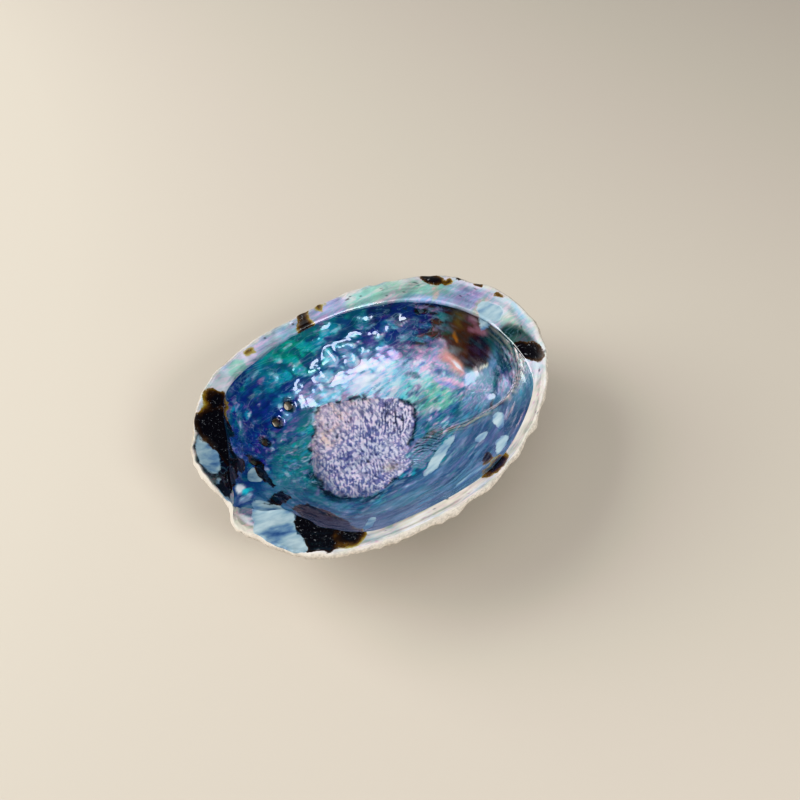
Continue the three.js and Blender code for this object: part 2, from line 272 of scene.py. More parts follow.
# Step down on the right of the overlap's path, which fades with the distance from it
def stepAtOverlap(x, y):
    distance, share = alongPath(x, y, "overlap")
    height = step["height"] * ease(share / 0.3) * ease((1 - share) / 0.45)
    fall = -height * ease(-distance / step["run"]) * bell(distance + step["run"], step["reach"])
    return np.where(distance > 0, 0, fall)


# A bell-shaped groove along the canal's path, which deepens over the path's first half
def canalCut(x, y):
    distance, share = alongPath(x, y, "canal")
    return -canal["depth"] * ease(share / 0.5) * bell(distance, canal["width"])


# Even hollow, fold, pit, step, rises, seals, funnels and canal added up
def innerHeight(share, degrees):
    radius = share * wallRadius(degrees)
    x, y = inPlan(radius, degrees)
    hollows = (mound(x, y, pit) + stepAtOverlap(x, y)) * (1 - share**10)
    rises = mound(x, y, saddle) + mound(x, y, scarMound)
    small = moundsAt(x, y, sealedPores, *poreSeal) + moundsAt(x, y, openPores, *poreFunnel)
    small = small + canalCut(x, y)
    return evenHollow(radius, degrees) + foldLift(share, degrees) + hollows + rises + small


# Cubic arc from start to end, pulled by two more points, without its start
def arc(start, startPull, endPull, end, count):
    t = (np.arange(count) + 1)[:, None, None] / count
    points = [np.stack(np.broadcast_arrays(*p)) for p in (start, startPull, endPull, end)]
    weights = [(1 - t) ** 3, 3 * (1 - t) ** 2 * t, 3 * (1 - t) * t**2, t**3]
    curve = sum(w * p[None] for w, p in zip(weights, points))
    return curve[:, 0], curve[:, 1]


# Even steps from just over 0 to 1, as a column
def shares(count):
    return ((np.arange(count) + 1) / count)[:, None]


# Inner half of every section: basin, curl over the shelf's edge, then the shelf to the margin
def innerSections(degrees):
    share = 1 - (1 - shares(sizes["basinRings"])) ** 1.2
    basin = (share * wallRadius(degrees), innerHeight(share, degrees[None]))
    margin, lip = marginAt(degrees), aroundShell("edgeHeight", degrees)
    edge = margin - aroundShell("shelfWidth", degrees)
    cut = canalCut(*inPlan(edge, degrees))
    shelfLow = marginHeightAt(degrees) - aroundShell("shelfDrop", degrees)
    underEdge = (edge - edgeCurl["lowBulge"] * lip, wallTop(degrees) + edgeCurl["rise"] * lip + cut)
    overEdge = (edge - edgeCurl["highBulge"] * lip, shelfLow + edgeCurl["crown"] * lip + cut)
    landing = edge + edgeCurl["landing"] * lip + edgeLanding["run"]
    landingHeight = shelfLow + edgeLanding["rise"]
    foot = (basin[0][-1], basin[1][-1])
    curl = arc(foot, underEdge, overEdge, (landing, landingHeight + cut), sizes["edgeRings"])
    t = shares(sizes["shelfRings"])
    shelfEnd = margin - sizes["marginThickness"] * marginRounding["share"]
    radius = landing + (shelfEnd - landing) * t
    height = landingHeight + (marginHeightAt(degrees) - landingHeight) * t**1.15
    height = height + canalCut(*inPlan(radius, degrees))
    return [basin, curl, (radius, height)]


# The wall is thicker along the keel of the pore row and at its raised tubes
def thicknessAt(x, y):
    distance, share = alongPath(x, y, "keel")
    ridge = ease(share / 0.1) * ease((1 - share) / 0.2) * bell(distance, keelRidge["width"])
    return sizes["wallThickness"] + keelRidge["height"] * ridge + moundsAt(x, y, openPores, *poreTube)


# What the back follows: the even hollow with the pit, the folds that dip and the canal
def backGuide(radius, degrees):
    x, y = inPlan(radius, degrees)
    bulge = 0.75 * mound(x, y, pit) * (1 - (radius / bodyRadius(degrees)) ** 10)
    dip = np.minimum(0, foldLift(radius / wallRadius(degrees), degrees))
    return evenHollow(radius, degrees) + bulge + dip + 0.8 * canalCut(x, y)


# Outer half: the guide moved square to itself by the thickness, then a flare to the margin
def outerSections(degrees):
    reach = bodyRadius(degrees)
    radius = reach * (1 - (1 - shares(sizes["backRings"])) ** 1.1)
    bearing = np.broadcast_to(degrees, radius.shape)
    lean = np.arctan2(backGuide(radius + 0.5, bearing) - backGuide(radius - 0.5, bearing), 1.0)
    thickness = thicknessAt(*inPlan(radius, bearing))
    back = (radius + thickness * np.sin(lean), backGuide(radius, bearing) - thickness * np.cos(lean))
    margin = marginAt(degrees)
    underside = marginHeightAt(degrees) - sizes["marginThickness"] + canalCut(*inPlan(margin, degrees))
    start = (back[0][-1], back[1][-1])
    length = np.hypot(margin - start[0], underside - start[1])
    pull = flare["start"] * length
    leaving = (start[0] + pull * np.cos(lean[-1]), start[1] + pull * np.sin(lean[-1]))
    arriving = (margin - flare["endRun"] * length, underside - flare["endRise"] * length)
    return [back, arc(start, leaving, arriving, (margin, underside), sizes["flareRings"])]


# Smooth random field from -1 to 1: random values at the corners of cubes, eased along each axis
def lumps(place, size, seed):
    values = np.random.default_rng(seed).uniform(-1, 1, (32, 32, 32))
    scaled = np.stack(place, -1) / size + 64
    cell = np.floor(scaled).astype(int)
    blend = ease(scaled - cell)
    total = 0
    for corner in itertools.product((0, 1), repeat=3):
        index = (cell + corner) % 32
        weight = np.prod(np.where(corner, blend, 1 - blend), axis=-1)
        total = total + weight * values[index[..., 0], index[..., 1], index[..., 2]]
    return total


# Three layers of lumps, each half as large and half as strong as the one before
def layered(place, size, seed):
    return sum(lumps(place, size / 2**i, seed + i) / 2**i for i in range(3)) / 1.4


# Place for a field that follows the shell round: on a circle of this size, at this height
def ringPlace(degrees, size, up):
    angle = np.radians(degrees)
    return np.cos(angle) * size, np.sin(angle) * size, up


# The surface's three coordinates together
def placeOf(s):
    return s["x"], s["y"], s["z"]


# Plan position bent by random lumps, by about so many mm
def bentPlan(s, bend, size, seed):
    bentX, bentY = (bend * layered(placeOf(s), size, number) for number in (seed, seed + 3))
    return s["x"] + bentX, s["y"] + bentY


# Outline of the muscle scar as [angle, radius] about its centre
around["scarOutline"] = [
    [100, 26.5], [83, 25], [63, 24], [44, 26], [27, 28.7], [12, 29.4], [-10, 24.3], [-26, 20.4],
    [-49, 18.8], [-63, 22], [-86, 22], [-104, 24.2], [-119, 26.9], [-147, 28.6], [-172, 26],
    [156, 21.6], [130, 21.6]]
scarCentre = (-7, 6)


# How far inside the scar's outline, in mm, positive inside
def insideScar(x, y):
    degrees = np.degrees(np.arctan2(y - scarCentre[1], x - scarCentre[0]))
    return aroundShell("scarOutline", degrees) - np.hypot(x - scarCentre[0], y - scarCentre[1])


# Share of the way into a turned ellipse [x, y, half length, half breadth, turn]: 0 centre, 1 edge
def ellipseShare(x, y, shape):
    centreX, centreY, length, breadth, turn = shape
    cosine, sine = math.cos(math.radians(turn)), math.sin(math.radians(turn))
    along = (x - centreX) * cosine + (y - centreY) * sine
    across = (y - centreY) * cosine - (x - centreX) * sine
    return np.hypot(along / length, across / breadth)


relief = {
    "hammerHeight": 0.6,        # lumps of the far wall and the pore row
    "hammerSize": 5.5,
    "swellHeight": 0.3,         # slow swells of the other nacre
    "scarStep": 0.35,           # the scar stands proud of the nacre
    "grooveDepth": 0.3,
    "grooveSpacing": 1.3,
    "rippleHeight": 0.16,
    "terraceHeight": 0.3,
    "terraceSpacing": 0.95,
    "shelfLineHeight": 0.05,
    "shelfSwell": 0.3,
    "notchLump": 1.0,
    "raggedEdge": 1.1,
    "combStep": 0.15,
    "combHeight": 0.13,
    "combSpacing": 1.6,
    "poreCollar": 0.55,
    "poreBlister": 0.5,
    "foldFlute": 0.45,
    "growthRidge": 0.55,
    "cordHeight": 0.3,
    "cordCount": 44,
    "crustHeight": 0.5,
    "gritHeight": 0.12,
    "sutureDepth": 0.9,         # seam between the turns of the spire
}
apex = (56.0, 12.0)
secondScar = [12, -11.5, 11.5, 5.2, 34]
fibreSlant = (0.83, 0.55)       # cosine and sine of the slant of the scars' fibres


# Every ring of every section, with what is known of each place: how far out it lies, how far onto the
# shelf, how far round to the outside, and the distance in from the margin
def makeSurface():
    degrees = np.arange(sizes["sectors"]) * 360 / sizes["sectors"]
    basin, curl, shelf = innerSections(degrees)
    back, under = outerSections(degrees)
    innerEnd, outerEnd = (shelf[0][-1], shelf[1][-1]), (under[0][-1], under[1][-1])
    leaving = (innerEnd[0] + marginRounding["run"], innerEnd[1] + marginRounding["rise"])
    thick = sizes["marginThickness"] * marginRounding["share"]
    arriving = (outerEnd[0] + marginRounding["bulge"], outerEnd[1] + thick)
    rounding = arc(innerEnd, leaving, arriving, outerEnd, sizes["roundingRings"] + 1)
    rounding = tuple(part[:-1] for part in rounding)
    blocks = [basin, curl, shelf, rounding, tuple(p[::-1] for p in under), tuple(p[::-1] for p in back)]
    radius = np.concatenate([block[0] for block in blocks])
    height = np.concatenate([block[1] for block in blocks])

    # Even steps down each block, from its span's first value to the second
    def perBlock(*spans):
        steps = [np.linspace(a, b, len(block[0]))[:, None] for (a, b), block in zip(spans, blocks)]
        return np.broadcast_to(np.concatenate(steps), radius.shape)

    bearing = np.broadcast_to(degrees, radius.shape)
    wayOut = np.where(perBlock((0, 0), (1, 1), (1, 1), (1, 1), (1, 1), (0, 0)) > 0.5, 1,
                      np.clip(radius / wallRadius(bearing), 0, 1))
    onShelf = perBlock((0, 0), (0, 1), (1, 1), (1, 1), (1, 1), (0, 0))
    outside = perBlock((0, 0), (0, 0), (0, 0), (0.05, 0.95), (1, 1), (1, 1))
    edgeness = perBlock((0, 0), (0, 0), (0, 1), (1, 1), (1, 0), (0, 0))
    # The margin is ragged: small jags and flakes, all of them inwards, and less so along the lip
    ring = ringPlace(bearing, 60, np.zeros_like(bearing))
    jag = np.abs(lumps(ring, 5.5, 3)) + 0.6 * np.abs(lumps(ring, 2.2, 4)) ** 2
    chip = ease((lumps(ring, 9, 5) - 0.45) / 0.25) * 0.9
    calm = 1 - 0.55 * bellAround(bearing, -60, 55)
    radius = radius - relief["raggedEdge"] * (jag * 0.7 + chip) * calm * edgeness**2
    height = height - 0.5 * relief["raggedEdge"] * np.abs(lumps(ring, 7, 6)) * edgeness**2
    x, y = inPlan(radius, bearing)
    return {"x": x, "y": y, "z": height, "degrees": bearing, "wayOut": wayOut, "onShelf": onShelf,
            "outside": outside, "edgeness": edgeness, "in": marginAt(bearing) - radius}


# Groove field of the scar from -1 to 1: short random lumps drawn out along the fibres, with a weak
# even wave under them
def scarGrooves(x, y, z):
    across = x * fibreSlant[0] - y * fibreSlant[1]
    along = x * fibreSlant[1] + y * fibreSlant[0]
    bend = 1.1 * lumps((across, along * 0.6, z), 6, 21) + 0.5 * lumps((across, along * 0.7, z), 2.6, 22)
    waves = np.sin((across + bend) * 2 * math.pi / relief["grooveSpacing"])
    strands = lumps((across + bend, along * 0.46, z), 0.75, 23) + 0.6 * lumps((across, along, z), 0.8, 24)
    return np.clip(waves * 0.3 + strands * 1.15, -1, 1)


# Share of the near side: minus the sine of the bearing, plus a level, eased over a run
def nearness(s, level, run):
    return ease((-np.sin(np.radians(s["degrees"] + 12)) + level) / run)


# The near wall is calmer and bluer than the rest
def nearSide(s):
    return nearness(s, 0.1, 0.4) * ease((s["wayOut"] - 0.45) / 0.2)


# Hammered look of the far wall and the pore row: rounded lumps with sharp creases between them, and
# the share of the place that has them
def hammered(s):
    x, y, z = placeOf(s)
    away = alongPath(x, y, "keel")[0]
    farSide = ease((np.sin(np.radians(s["degrees"] - 15)) + 0.1) / 0.5)
    bumpy = np.maximum(bell(away - 2, 9), farSide * ease((s["wayOut"] - 0.55) / 0.25) * 0.5)
    crease = np.abs(layered((x * 0.8 + y * 0.2, y, z), relief["hammerSize"], 31))
    field = 2 * (np.hypot(crease, 0.1) - 0.1) - 0.45
    return field + 0.3 * lumps((x * 0.8, y, z), 3, 34), bumpy


# Comb of the smaller scar: uneven waves across it, from -1 to 1
def combWave(x, y, z):
    bend = lumps((x, y, z), 3, 52) + 0.5 * lumps((x, y, z), 1.2, 53)
    across = x * fibreSlant[0] + y * fibreSlant[1]
    return np.sin((across + bend) * 2 * math.pi / relief["combSpacing"])


# Mask of the smaller scar, with a ragged edge that fades over a share of its size
def combMaskAt(s, fade):
    comb = ellipseShare(s["x"], s["y"], secondScar) + 0.2 * lumps(placeOf(s), 2.5, 51)
    return ease((1.05 - comb) / fade)


# Depth inside the scar with a ragged outline, in mm
def raggedScar(s):
    return insideScar(s["x"], s["y"]) + 1.3 * lumps(placeOf(s), 4, 11)


# Layers on the overlap's step: signed distance to its path, share along it, and each layer's sawtooth
def overlapLayers(s):
    away, share = alongPath(s["x"], s["y"], "overlap")
    layer = (away + 0.5 * lumps(placeOf(s), 6, 71)) / relief["terraceSpacing"]
    return away, share, layer - np.floor(layer)


# Height of the fine relief above the surface, in mm, along the normal
def fineRelief(s):
    x, y, z = place = placeOf(s)
    inside = 1 - s["outside"]
    basin = inside * (1 - ease(s["onShelf"] * 2))
    scarMask = ease(raggedScar(s) / 1.6)
    hammer, bumpy = hammered(s)
    lift = basin * bumpy * (1 - scarMask) * relief["hammerHeight"] * hammer
    # Gentle swells over the rest of the nacre
    lift = lift + basin * (1 - scarMask) * relief["swellHeight"] * layered((x * 0.6, y, z), 8, 41)
    lift = lift + basin * scarMask * (relief["scarStep"] - relief["grooveDepth"] * scarGrooves(x, y, z))
    combMask = combMaskAt(s, 0.25) * (1 - scarMask)
    lift = lift + basin * combMask * (relief["combStep"] - relief["combHeight"] * combWave(x, y, z))
    # Ripples of the near wall run along the lip
    layers = ringPlace(s["degrees"], 9, z + 0.4 * s["wayOut"] * 60)
    lift = lift + basin * nearSide(s) * relief["rippleHeight"] * layered(layers, 1.8, 61)
    # Thin layers stack up on the overlap's step
    away, share, layer = overlapLayers(s)
    terrace = layer * ease((share - 0.05) / 0.3) * bell(away + 0.6, 3)
    lift = lift + basin * relief["terraceHeight"] * terrace
    # Collars round the open pores and blisters on the sealed ones
    for px, py in openPores:
        lift = lift + basin * relief["poreCollar"] * bell(np.hypot(x - px, y - py) - 3.1, 0.9)
    lift = lift + basin * moundsAt(x, y, sealedPores, relief["poreBlister"], 2.1)
    # Shelf and lip: growth lines along the margin and a slow swell
    lines = shelfLines(s) * relief["shelfLineHeight"]
    swell = relief["shelfSwell"] * layered(place, 11, 84)
    shelf = inside * ease(s["onShelf"] * 2)
    lift = lift + shelf * (lines + swell) * (1 - s["edgeness"] ** 4)
    fold = shelf * bellAround(s["degrees"], -150, 14)
    lift = lift + fold * relief["foldFlute"] * layered((x * 0.8 + y, y * 0.3, z * 0.3), 3.5, 87)
    # Broken lumps of the margin beside the notch
    beside = shelf * bellAround(s["degrees"], -168, 8) * ease((6 - s["in"]) / 4)
    lift = lift + beside * relief["notchLump"] * lumps(place, 3, 88)
    return lift + s["outside"] * backRelief(s)


# Growth lines of the shelf: random layers that run along the margin, from -1 to 1
def shelfLines(s):
    away = s["in"] + 0.8 * lumps(placeOf(s), 9, 81)
    return layered(ringPlace(s["degrees"], 4, away), 1.6, 82)


# Bands at a steady distance from the apex, bent by lumps, from -1 to 1
def growthBands(s, size, seed):
    growth = np.hypot(s["x"] - apex[0], s["y"] - apex[1]) + 3.5 * layered(placeOf(s), 16, 91)
    return layered((growth, growth * 0 + 5, growth * 0), size, seed)


# Back: ridges at a steady distance from the apex, cords that spiral out of it, and crust
def backRelief(s):
    place = placeOf(s)
    x, y = place[0] - apex[0], place[1] - apex[1]
    fromApex, bearing = np.hypot(x, y), np.arctan2(y, x)
    ridges = growthBands(s, 4.5, 94) * relief["growthRidge"]
    cords = np.sin(relief["cordCount"] * bearing + 8 * np.log(fromApex + 6)) * relief["cordHeight"]
    cords = cords * ease((fromApex - 8) / 25)
    crust = np.maximum(0, layered(place, 5, 97) - 0.15) * relief["crustHeight"] * 2
    grit = lumps(place, 1.3, 99) * relief["gritHeight"]
    turn = bearing / (2 * math.pi) + 1.3 * np.log(np.maximum(fromApex, 2) / 20)
    suture = -relief["sutureDepth"] * bell(np.abs((turn + 0.5) % 1 - 0.5) * 9, 1) * bell(fromApex, 20)
    return ridges + cords + crust + grit + suture - 0.35


# Outward normals of the grid, from the differences to the neighbours in both directions
def gridNormals(x, y, z):
    points = np.stack([x, y, z], -1)
    acrossRings = np.gradient(points, axis=0)
    acrossSectors = np.roll(points, -1, axis=1) - np.roll(points, 1, axis=1)
    normals = np.cross(acrossRings, acrossSectors)
    return normals / np.maximum(np.linalg.norm(normals, axis=-1, keepdims=True), 1e-9)


surface = makeSurface()
lowest = surface["z"].min()
lift = fineRelief(surface)
normals = gridNormals(surface["x"], surface["y"], surface["z"])
for axis, name in enumerate("xyz"):
    surface[name] = surface[name] + lift * normals[..., axis]
ground = lowest + sizes["restDepth"]
surface["z"] = np.maximum(surface["z"], ground)
print("surface worked out:", surface["x"].shape)


# Hex sRGB to linear light, by the standard's curve
def toLinear(hexColour):
    srgb = np.array([int(hexColour[i:i + 2], 16) for i in (1, 3, 5)]) / 255
    return np.where(srgb <= 0.04045, srgb / 12.92, ((srgb + 0.055) / 1.055) ** 2.4)


# Mother-of-pearl: stacked aragonite plates, so pale where thick and blue-green to pink where they tilt
nacreHues = {
    "mint": "#b5d9c4", "ice": "#bcd6ea", "pearl": "#eceff6", "lilac": "#bdb4dd", "blush": "#e0b9cd",
    "cream": "#ddd4bf", "teal": "#1f8494", "emerald": "#08a677", "cyan": "#34cfdc",
    "indigo": "#263a86", "navy": "#16264f", "slate": "#36526c", "steel": "#6889a6", "sea": "#4f9a96",
    "rose": "#cf8fa4", "salmon": "#e2a08c", "violet": "#6c4c94", "umber": "#4b3022",
    "olive": "#6b5c36", "bottle": "#1d3a38", "bone": "#eadfcf", "sand": "#b5a890", "ink": "#12131d",
    "grey": "#8d9dac", "amber": "#b06a22", "peach": "#e2c0a4",
}

# Soft patches of the basin, as name: [x, y, half length, half breadth, turn, hue, strength]
basinPatches = {
    "nearWall": [5, -34, 62, 20, 0, "slate", 1.0],
    "nearWallLower": [8, -24, 44, 5, 8, "steel", 0.3],
    "nearWallDark": [-8, -33, 26, 4, -4, "navy", 0.6],
    "nearWallRight": [36, -31, 18, 5, 30, "navy", 0.45],
    "leftFloor": [-38, 0, 18, 20, 10, "sea", 0.7],
    "leftFloorGreen": [-36, 15, 15, 8, 40, "sea", 0.8],
    "leftFloorSlate": [-44, -12, 14, 12, 0, "slate", 0.8],
    "leftIndigo": [-50, 27, 22, 10, 52, "indigo", 0.95],
    "canalIndigo": [-58, 8, 15, 8, 50, "indigo", 0.9],
    "farIndigo": [-31, 42, 14, 9, 20, "indigo", 0.9],
    "farTeal": [-14, 46, 20, 8, 6, "teal", 0.95],
    "farEmerald": [-6, 48, 17, 5, 2, "emerald", 0.8],
    "farCyan": [4, 47, 8, 3.5, -4, "cyan", 0.6],
    "farNavy": [25, 44, 18, 7, -18, "navy", 0.95],
    "farSea": [16, 47, 8, 3.5, -8, "teal", 0.7],
    "farBottle": [46, 33, 14, 6, -50, "bottle", 0.95],
    "spireEdge": [60, 12, 7, 18, 5, "bottle", 0.9],
    "rowShade": [-30, 36, 15, 3.5, 25, "indigo", 0.7],
    "rowViolet": [-44, 22, 10, 4, 40, "violet", 0.6],
    "whiteRow": [8, 38, 18, 4.5, -4, "ice", 0.6],
    "whiteRowLeft": [-13, 38, 7, 3.5, 10, "ice", 0.6],
    "midLavender": [4, 32, 20, 6, -6, "lilac", 0.9],
    "midIce": [16, 25, 16, 6, 8, "ice", 0.95],
    "greenByRow": [-18, 29, 10, 5, 25, "sea", 0.85],
    "midGreen": [30, 12, 12, 9, 30, "mint", 0.7],
    "midCyan": [27, 21, 8, 4, 30, "cyan", 0.45],
    "midPearl": [10, 30, 20, 6, -4, "pearl", 0.5],
    "midPearlRight": [29, 20, 12, 6, 20, "pearl", 0.4],
    "rosePatch": [35, 31, 9, 4, -25, "rose", 0.45],
    "blushPatch": [41, 23, 9, 6, -40, "blush", 0.7],
    # painted highlight: a salmon streak beside the pit
    "pitSalmonHighlight": [46, 15, 3, 8, 15, "salmon", 0.5],
    "pitUmber": [56, 13, 9, 11, 5, "umber", 1.0],
    "pitOlive": [50, 25, 8, 4, -35, "olive", 0.6],
    "pitOliveLow": [50, 17, 4, 5, 0, "umber", 0.8],
    "pitUmberLeft": [44, 30, 11, 5, -35, "umber", 0.85],
    # painted highlight: a thin amber glint in the pit
    "pitAmberGlint": [52, 19, 0.7, 2, 20, "amber", 0.7],
    "pitBottle": [60, 3, 3, 8, 10, "bottle", 0.9],
    "pitInk": [54, 9, 4, 5, 20, "ink", 0.6],
    "pitRose": [58.5, 12, 1, 5, 15, "rose", 0.3],
    "pitGreen": [53, -8, 7, 6, 30, "bottle", 0.85],
    "pitGrey": [44, -4, 10, 6, 15, "grey", 0.8],
    "pitMint": [37, 6, 8, 5, 10, "mint", 0.8],
    "bandSlate": [58, -18, 8, 8, 0, "slate", 0.9],
    "bandSea": [49, -24, 14, 4, 30, "sea", 0.3],
    "bandDark": [61, -12, 5, 17, 5, "bottle", 0.85],
}


# Moves a tint towards a hue by an amount from 0 to 1
def paint(tint, hue, amount):
    return blend(tint, toLinear(nacreHues[hue]), np.clip(amount, 0, 1)[..., None])


# Paints each (hue, strength, field, level, fade), where a hue comes in as its field passes the level
def paintFields(tint, rows):
    for hue, strength, field, level, fade in rows:
        tint = paint(tint, hue, strength * ease((field - level) / fade))
    return tint


# Paints patches whose edges fade, on lines broken up by a field
def paintPatches(tint, patches, plan, broken, reach, fade):
    for shape in patches.values():
        amount = ease((reach - ellipseShare(*plan, shape[:5]) + broken) / fade)
        tint = paint(tint, shape[5], shape[6] * amount)
    return tint


# Patches of conchiolin, the brown horny layer that the nacre leaves bare, as [x, y, half length,
# half breadth, turn, thickness], where a thin one is olive and a thick one black
brownPatches = {
    "rightShelf": [61.8, -13, 7.5, 4.8, -78, 0.9],
    "leftShelfTop": [-53, 39, 7, 5, 50, 0.1],
    "leftShelf": [-57, 31, 10, 6.2, 62, 0.9],
    "leftShelfTail": [-59.5, 20, 12, 4, 76, 1],
    "leftShelfEnd": [-67, 6, 7, 2, 50, 1],
    "bottomFloor": [-43, -25.5, 12.5, 6, 105, 0.9],
    "bottomTop": [-44, -15.5, 8, 3.6, 140, 0.6],
    "bottomMiddle": [-48, -27, 11, 8.5, 62, 1],
    "bottomLip": [-53, -36, 9, 6, 70, 1],
    "bottomLipEdge": [-43, -39, 9, 5.5, 50, 0.1],
    "canalSide": [-50.8, 10.5, 8.5, 2.2, 97, 1],
    "canalFloor": [-53, -4.5, 5, 2, 10, 1],
    "nearLip": [17, -45.5, 7, 4, 22, 0.5],
    "nearLipTop": [20, -38, 4, 2.2, 40, 0.9],
    "shelfSpotLeft": [-29, 52, 2.6, 2, 10, 0.1],
    "shelfSpotMiddle": [-1.8, 53, 4.4, 3, 40, 0.35],
    "shelfSpotNext": [8, 54, 2.6, 2, 20, 0.2],
    "shelfSpotRight": [54, 40.5, 6, 3.2, -45, 0.5],
    "shelfSpotRightLow": [59, 34.5, 2.4, 1.7, -45, 0.3],
    "shelfSpotEdge": [64, 32.5, 2.4, 1.5, -60, 0.9],
    "shelfSpotEnd": [67, 26, 2.4, 1.6, -60, 0.7],
    "shelfSpotLast": [72, 17.5, 2, 1.3, -70, 0.7],
}

# Patches of opaque pale-blue shell laid over the nacre
glazePatches = {
    "leftLobe": [-66.2, 19.7, 9.3, 4.4, 72],
    "leftStrip": [-70, 2, 6, 1.6, 80],
    "bottomFold": [-62, -20, 15.5, 7.5, 68],
    "bottomFoldTop": [-58, -10, 7, 4, 130],
    "bottomFoldLow": [-62, -33, 6, 5, 40],
    "canalPatch": [-53.5, 10, 4, 3, 40],
    "besideScar": [13, -18.6, 12, 2.3, 25],
    "drip": [37.5, -25, 5.5, 1.9, 55],
    "dripLeft": [28, -26, 3, 1.6, 10],
    "dripLow": [27, -37.5, 6, 2.2, 40],
    "lipSmear": [9, -41, 8, 1.5, 10],
    "spireLilac": [63, 13, 6, 4.4, -75],
    "bottomSmear": [-32, -34, 6, 1.6, 40],
}

# Darker patches of the shelf and the lip, as name: [x, y, half length, half breadth, turn, hue, strength]
shelfPatches = {
    "leftLobe": [-65, 15, 17, 8, 80, "navy", 0.95],
    "leftLobeInk": [-66, 16, 15, 8, 76, "ink", 0.92],
    "fold": [-57, -19, 19, 9, 60, "slate", 0.85],
    "foldCanal": [-67, -6, 8, 5, 70, "indigo", 0.95],
    "foldIndigo": [-66, -11, 7, 3, 70, "indigo", 0.9],
    "foldWhite": [-72, -15, 7, 3.4, 78, "pearl", 1.0],
    "foldFloor": [-47, -24, 12, 6, 60, "bottle", 0.8],
    "spireShade": [63.5, 0, 5, 3.5, -70, "bottle", 0.75],
    "spireLilac": [60, 24, 8, 5, -50, "lilac", 0.8],
    "spirePearl": [66, 14, 7, 4, -80, "pearl", 0.7],
    "spireGreen": [50, 38, 9, 4, -40, "mint", 0.8],
    "spireCream": [51, 35, 2.2, 6, -40, "cream", 0.85],
    "spireCreamNext": [60.5, 17, 1.8, 6, -75, "cream", 0.8],
    "spireDark": [62, -4, 10, 4, -75, "bottle", 0.85],
    "farMint": [28, 49, 12, 4, -12, "mint", 0.7],
    "farLilac": [8, 52, 10, 4, 0, "lilac", 0.7],
    "leftSilver": [-46, 45, 8, 4, 45, "pearl", 0.7],
    "leftMint": [-37, 49, 4, 3, 35, "mint", 0.8],
}

# Hues of the shelf, the lip and the outside
crustHues = {
    "chalk": "#cfc7b8", "drift": "#a79c8b", "rust": "#7d5a45", "weed": "#5d5a45", "algae": "#b89a9c",
    "shade": "#3a332d",
}
nacreHues.update(crustHues)


# How far inside the nearest patch, as 0.5 on its outline and 0.1 more for each mm in from it, with the
# places bent by random lumps
def patchField(s, patches, seed, bend):
    x, y = bentPlan(s, bend, 8, seed)
    depths = [(1 - ellipseShare(x, y, shape[:5])) * shape[3] for shape in patches.values()]
    return np.clip(0.5 + 0.1 * np.max(depths, axis=0), 0, 1.2)


# Thickness of the brown layer: the mean of the patches' own, weighted by how near each one is
def brownThickness(x, y):
    shapes = list(brownPatches.values())
    weights = np.array([np.exp(-2.5 * ellipseShare(x, y, shape[:5])) for shape in shapes])
    thick = np.array([shape[5] for shape in shapes])
    return np.tensordot(thick, weights, 1) / weights.sum(0)


pitFarSide = [55, 14, 15, 9, 100]


# The pit's far side is brown and shows little fire, as an ellipse that fades out past its edge
def fireless(x, y):
    return ease(1.5 - ellipseShare(x, y, pitFarSide))


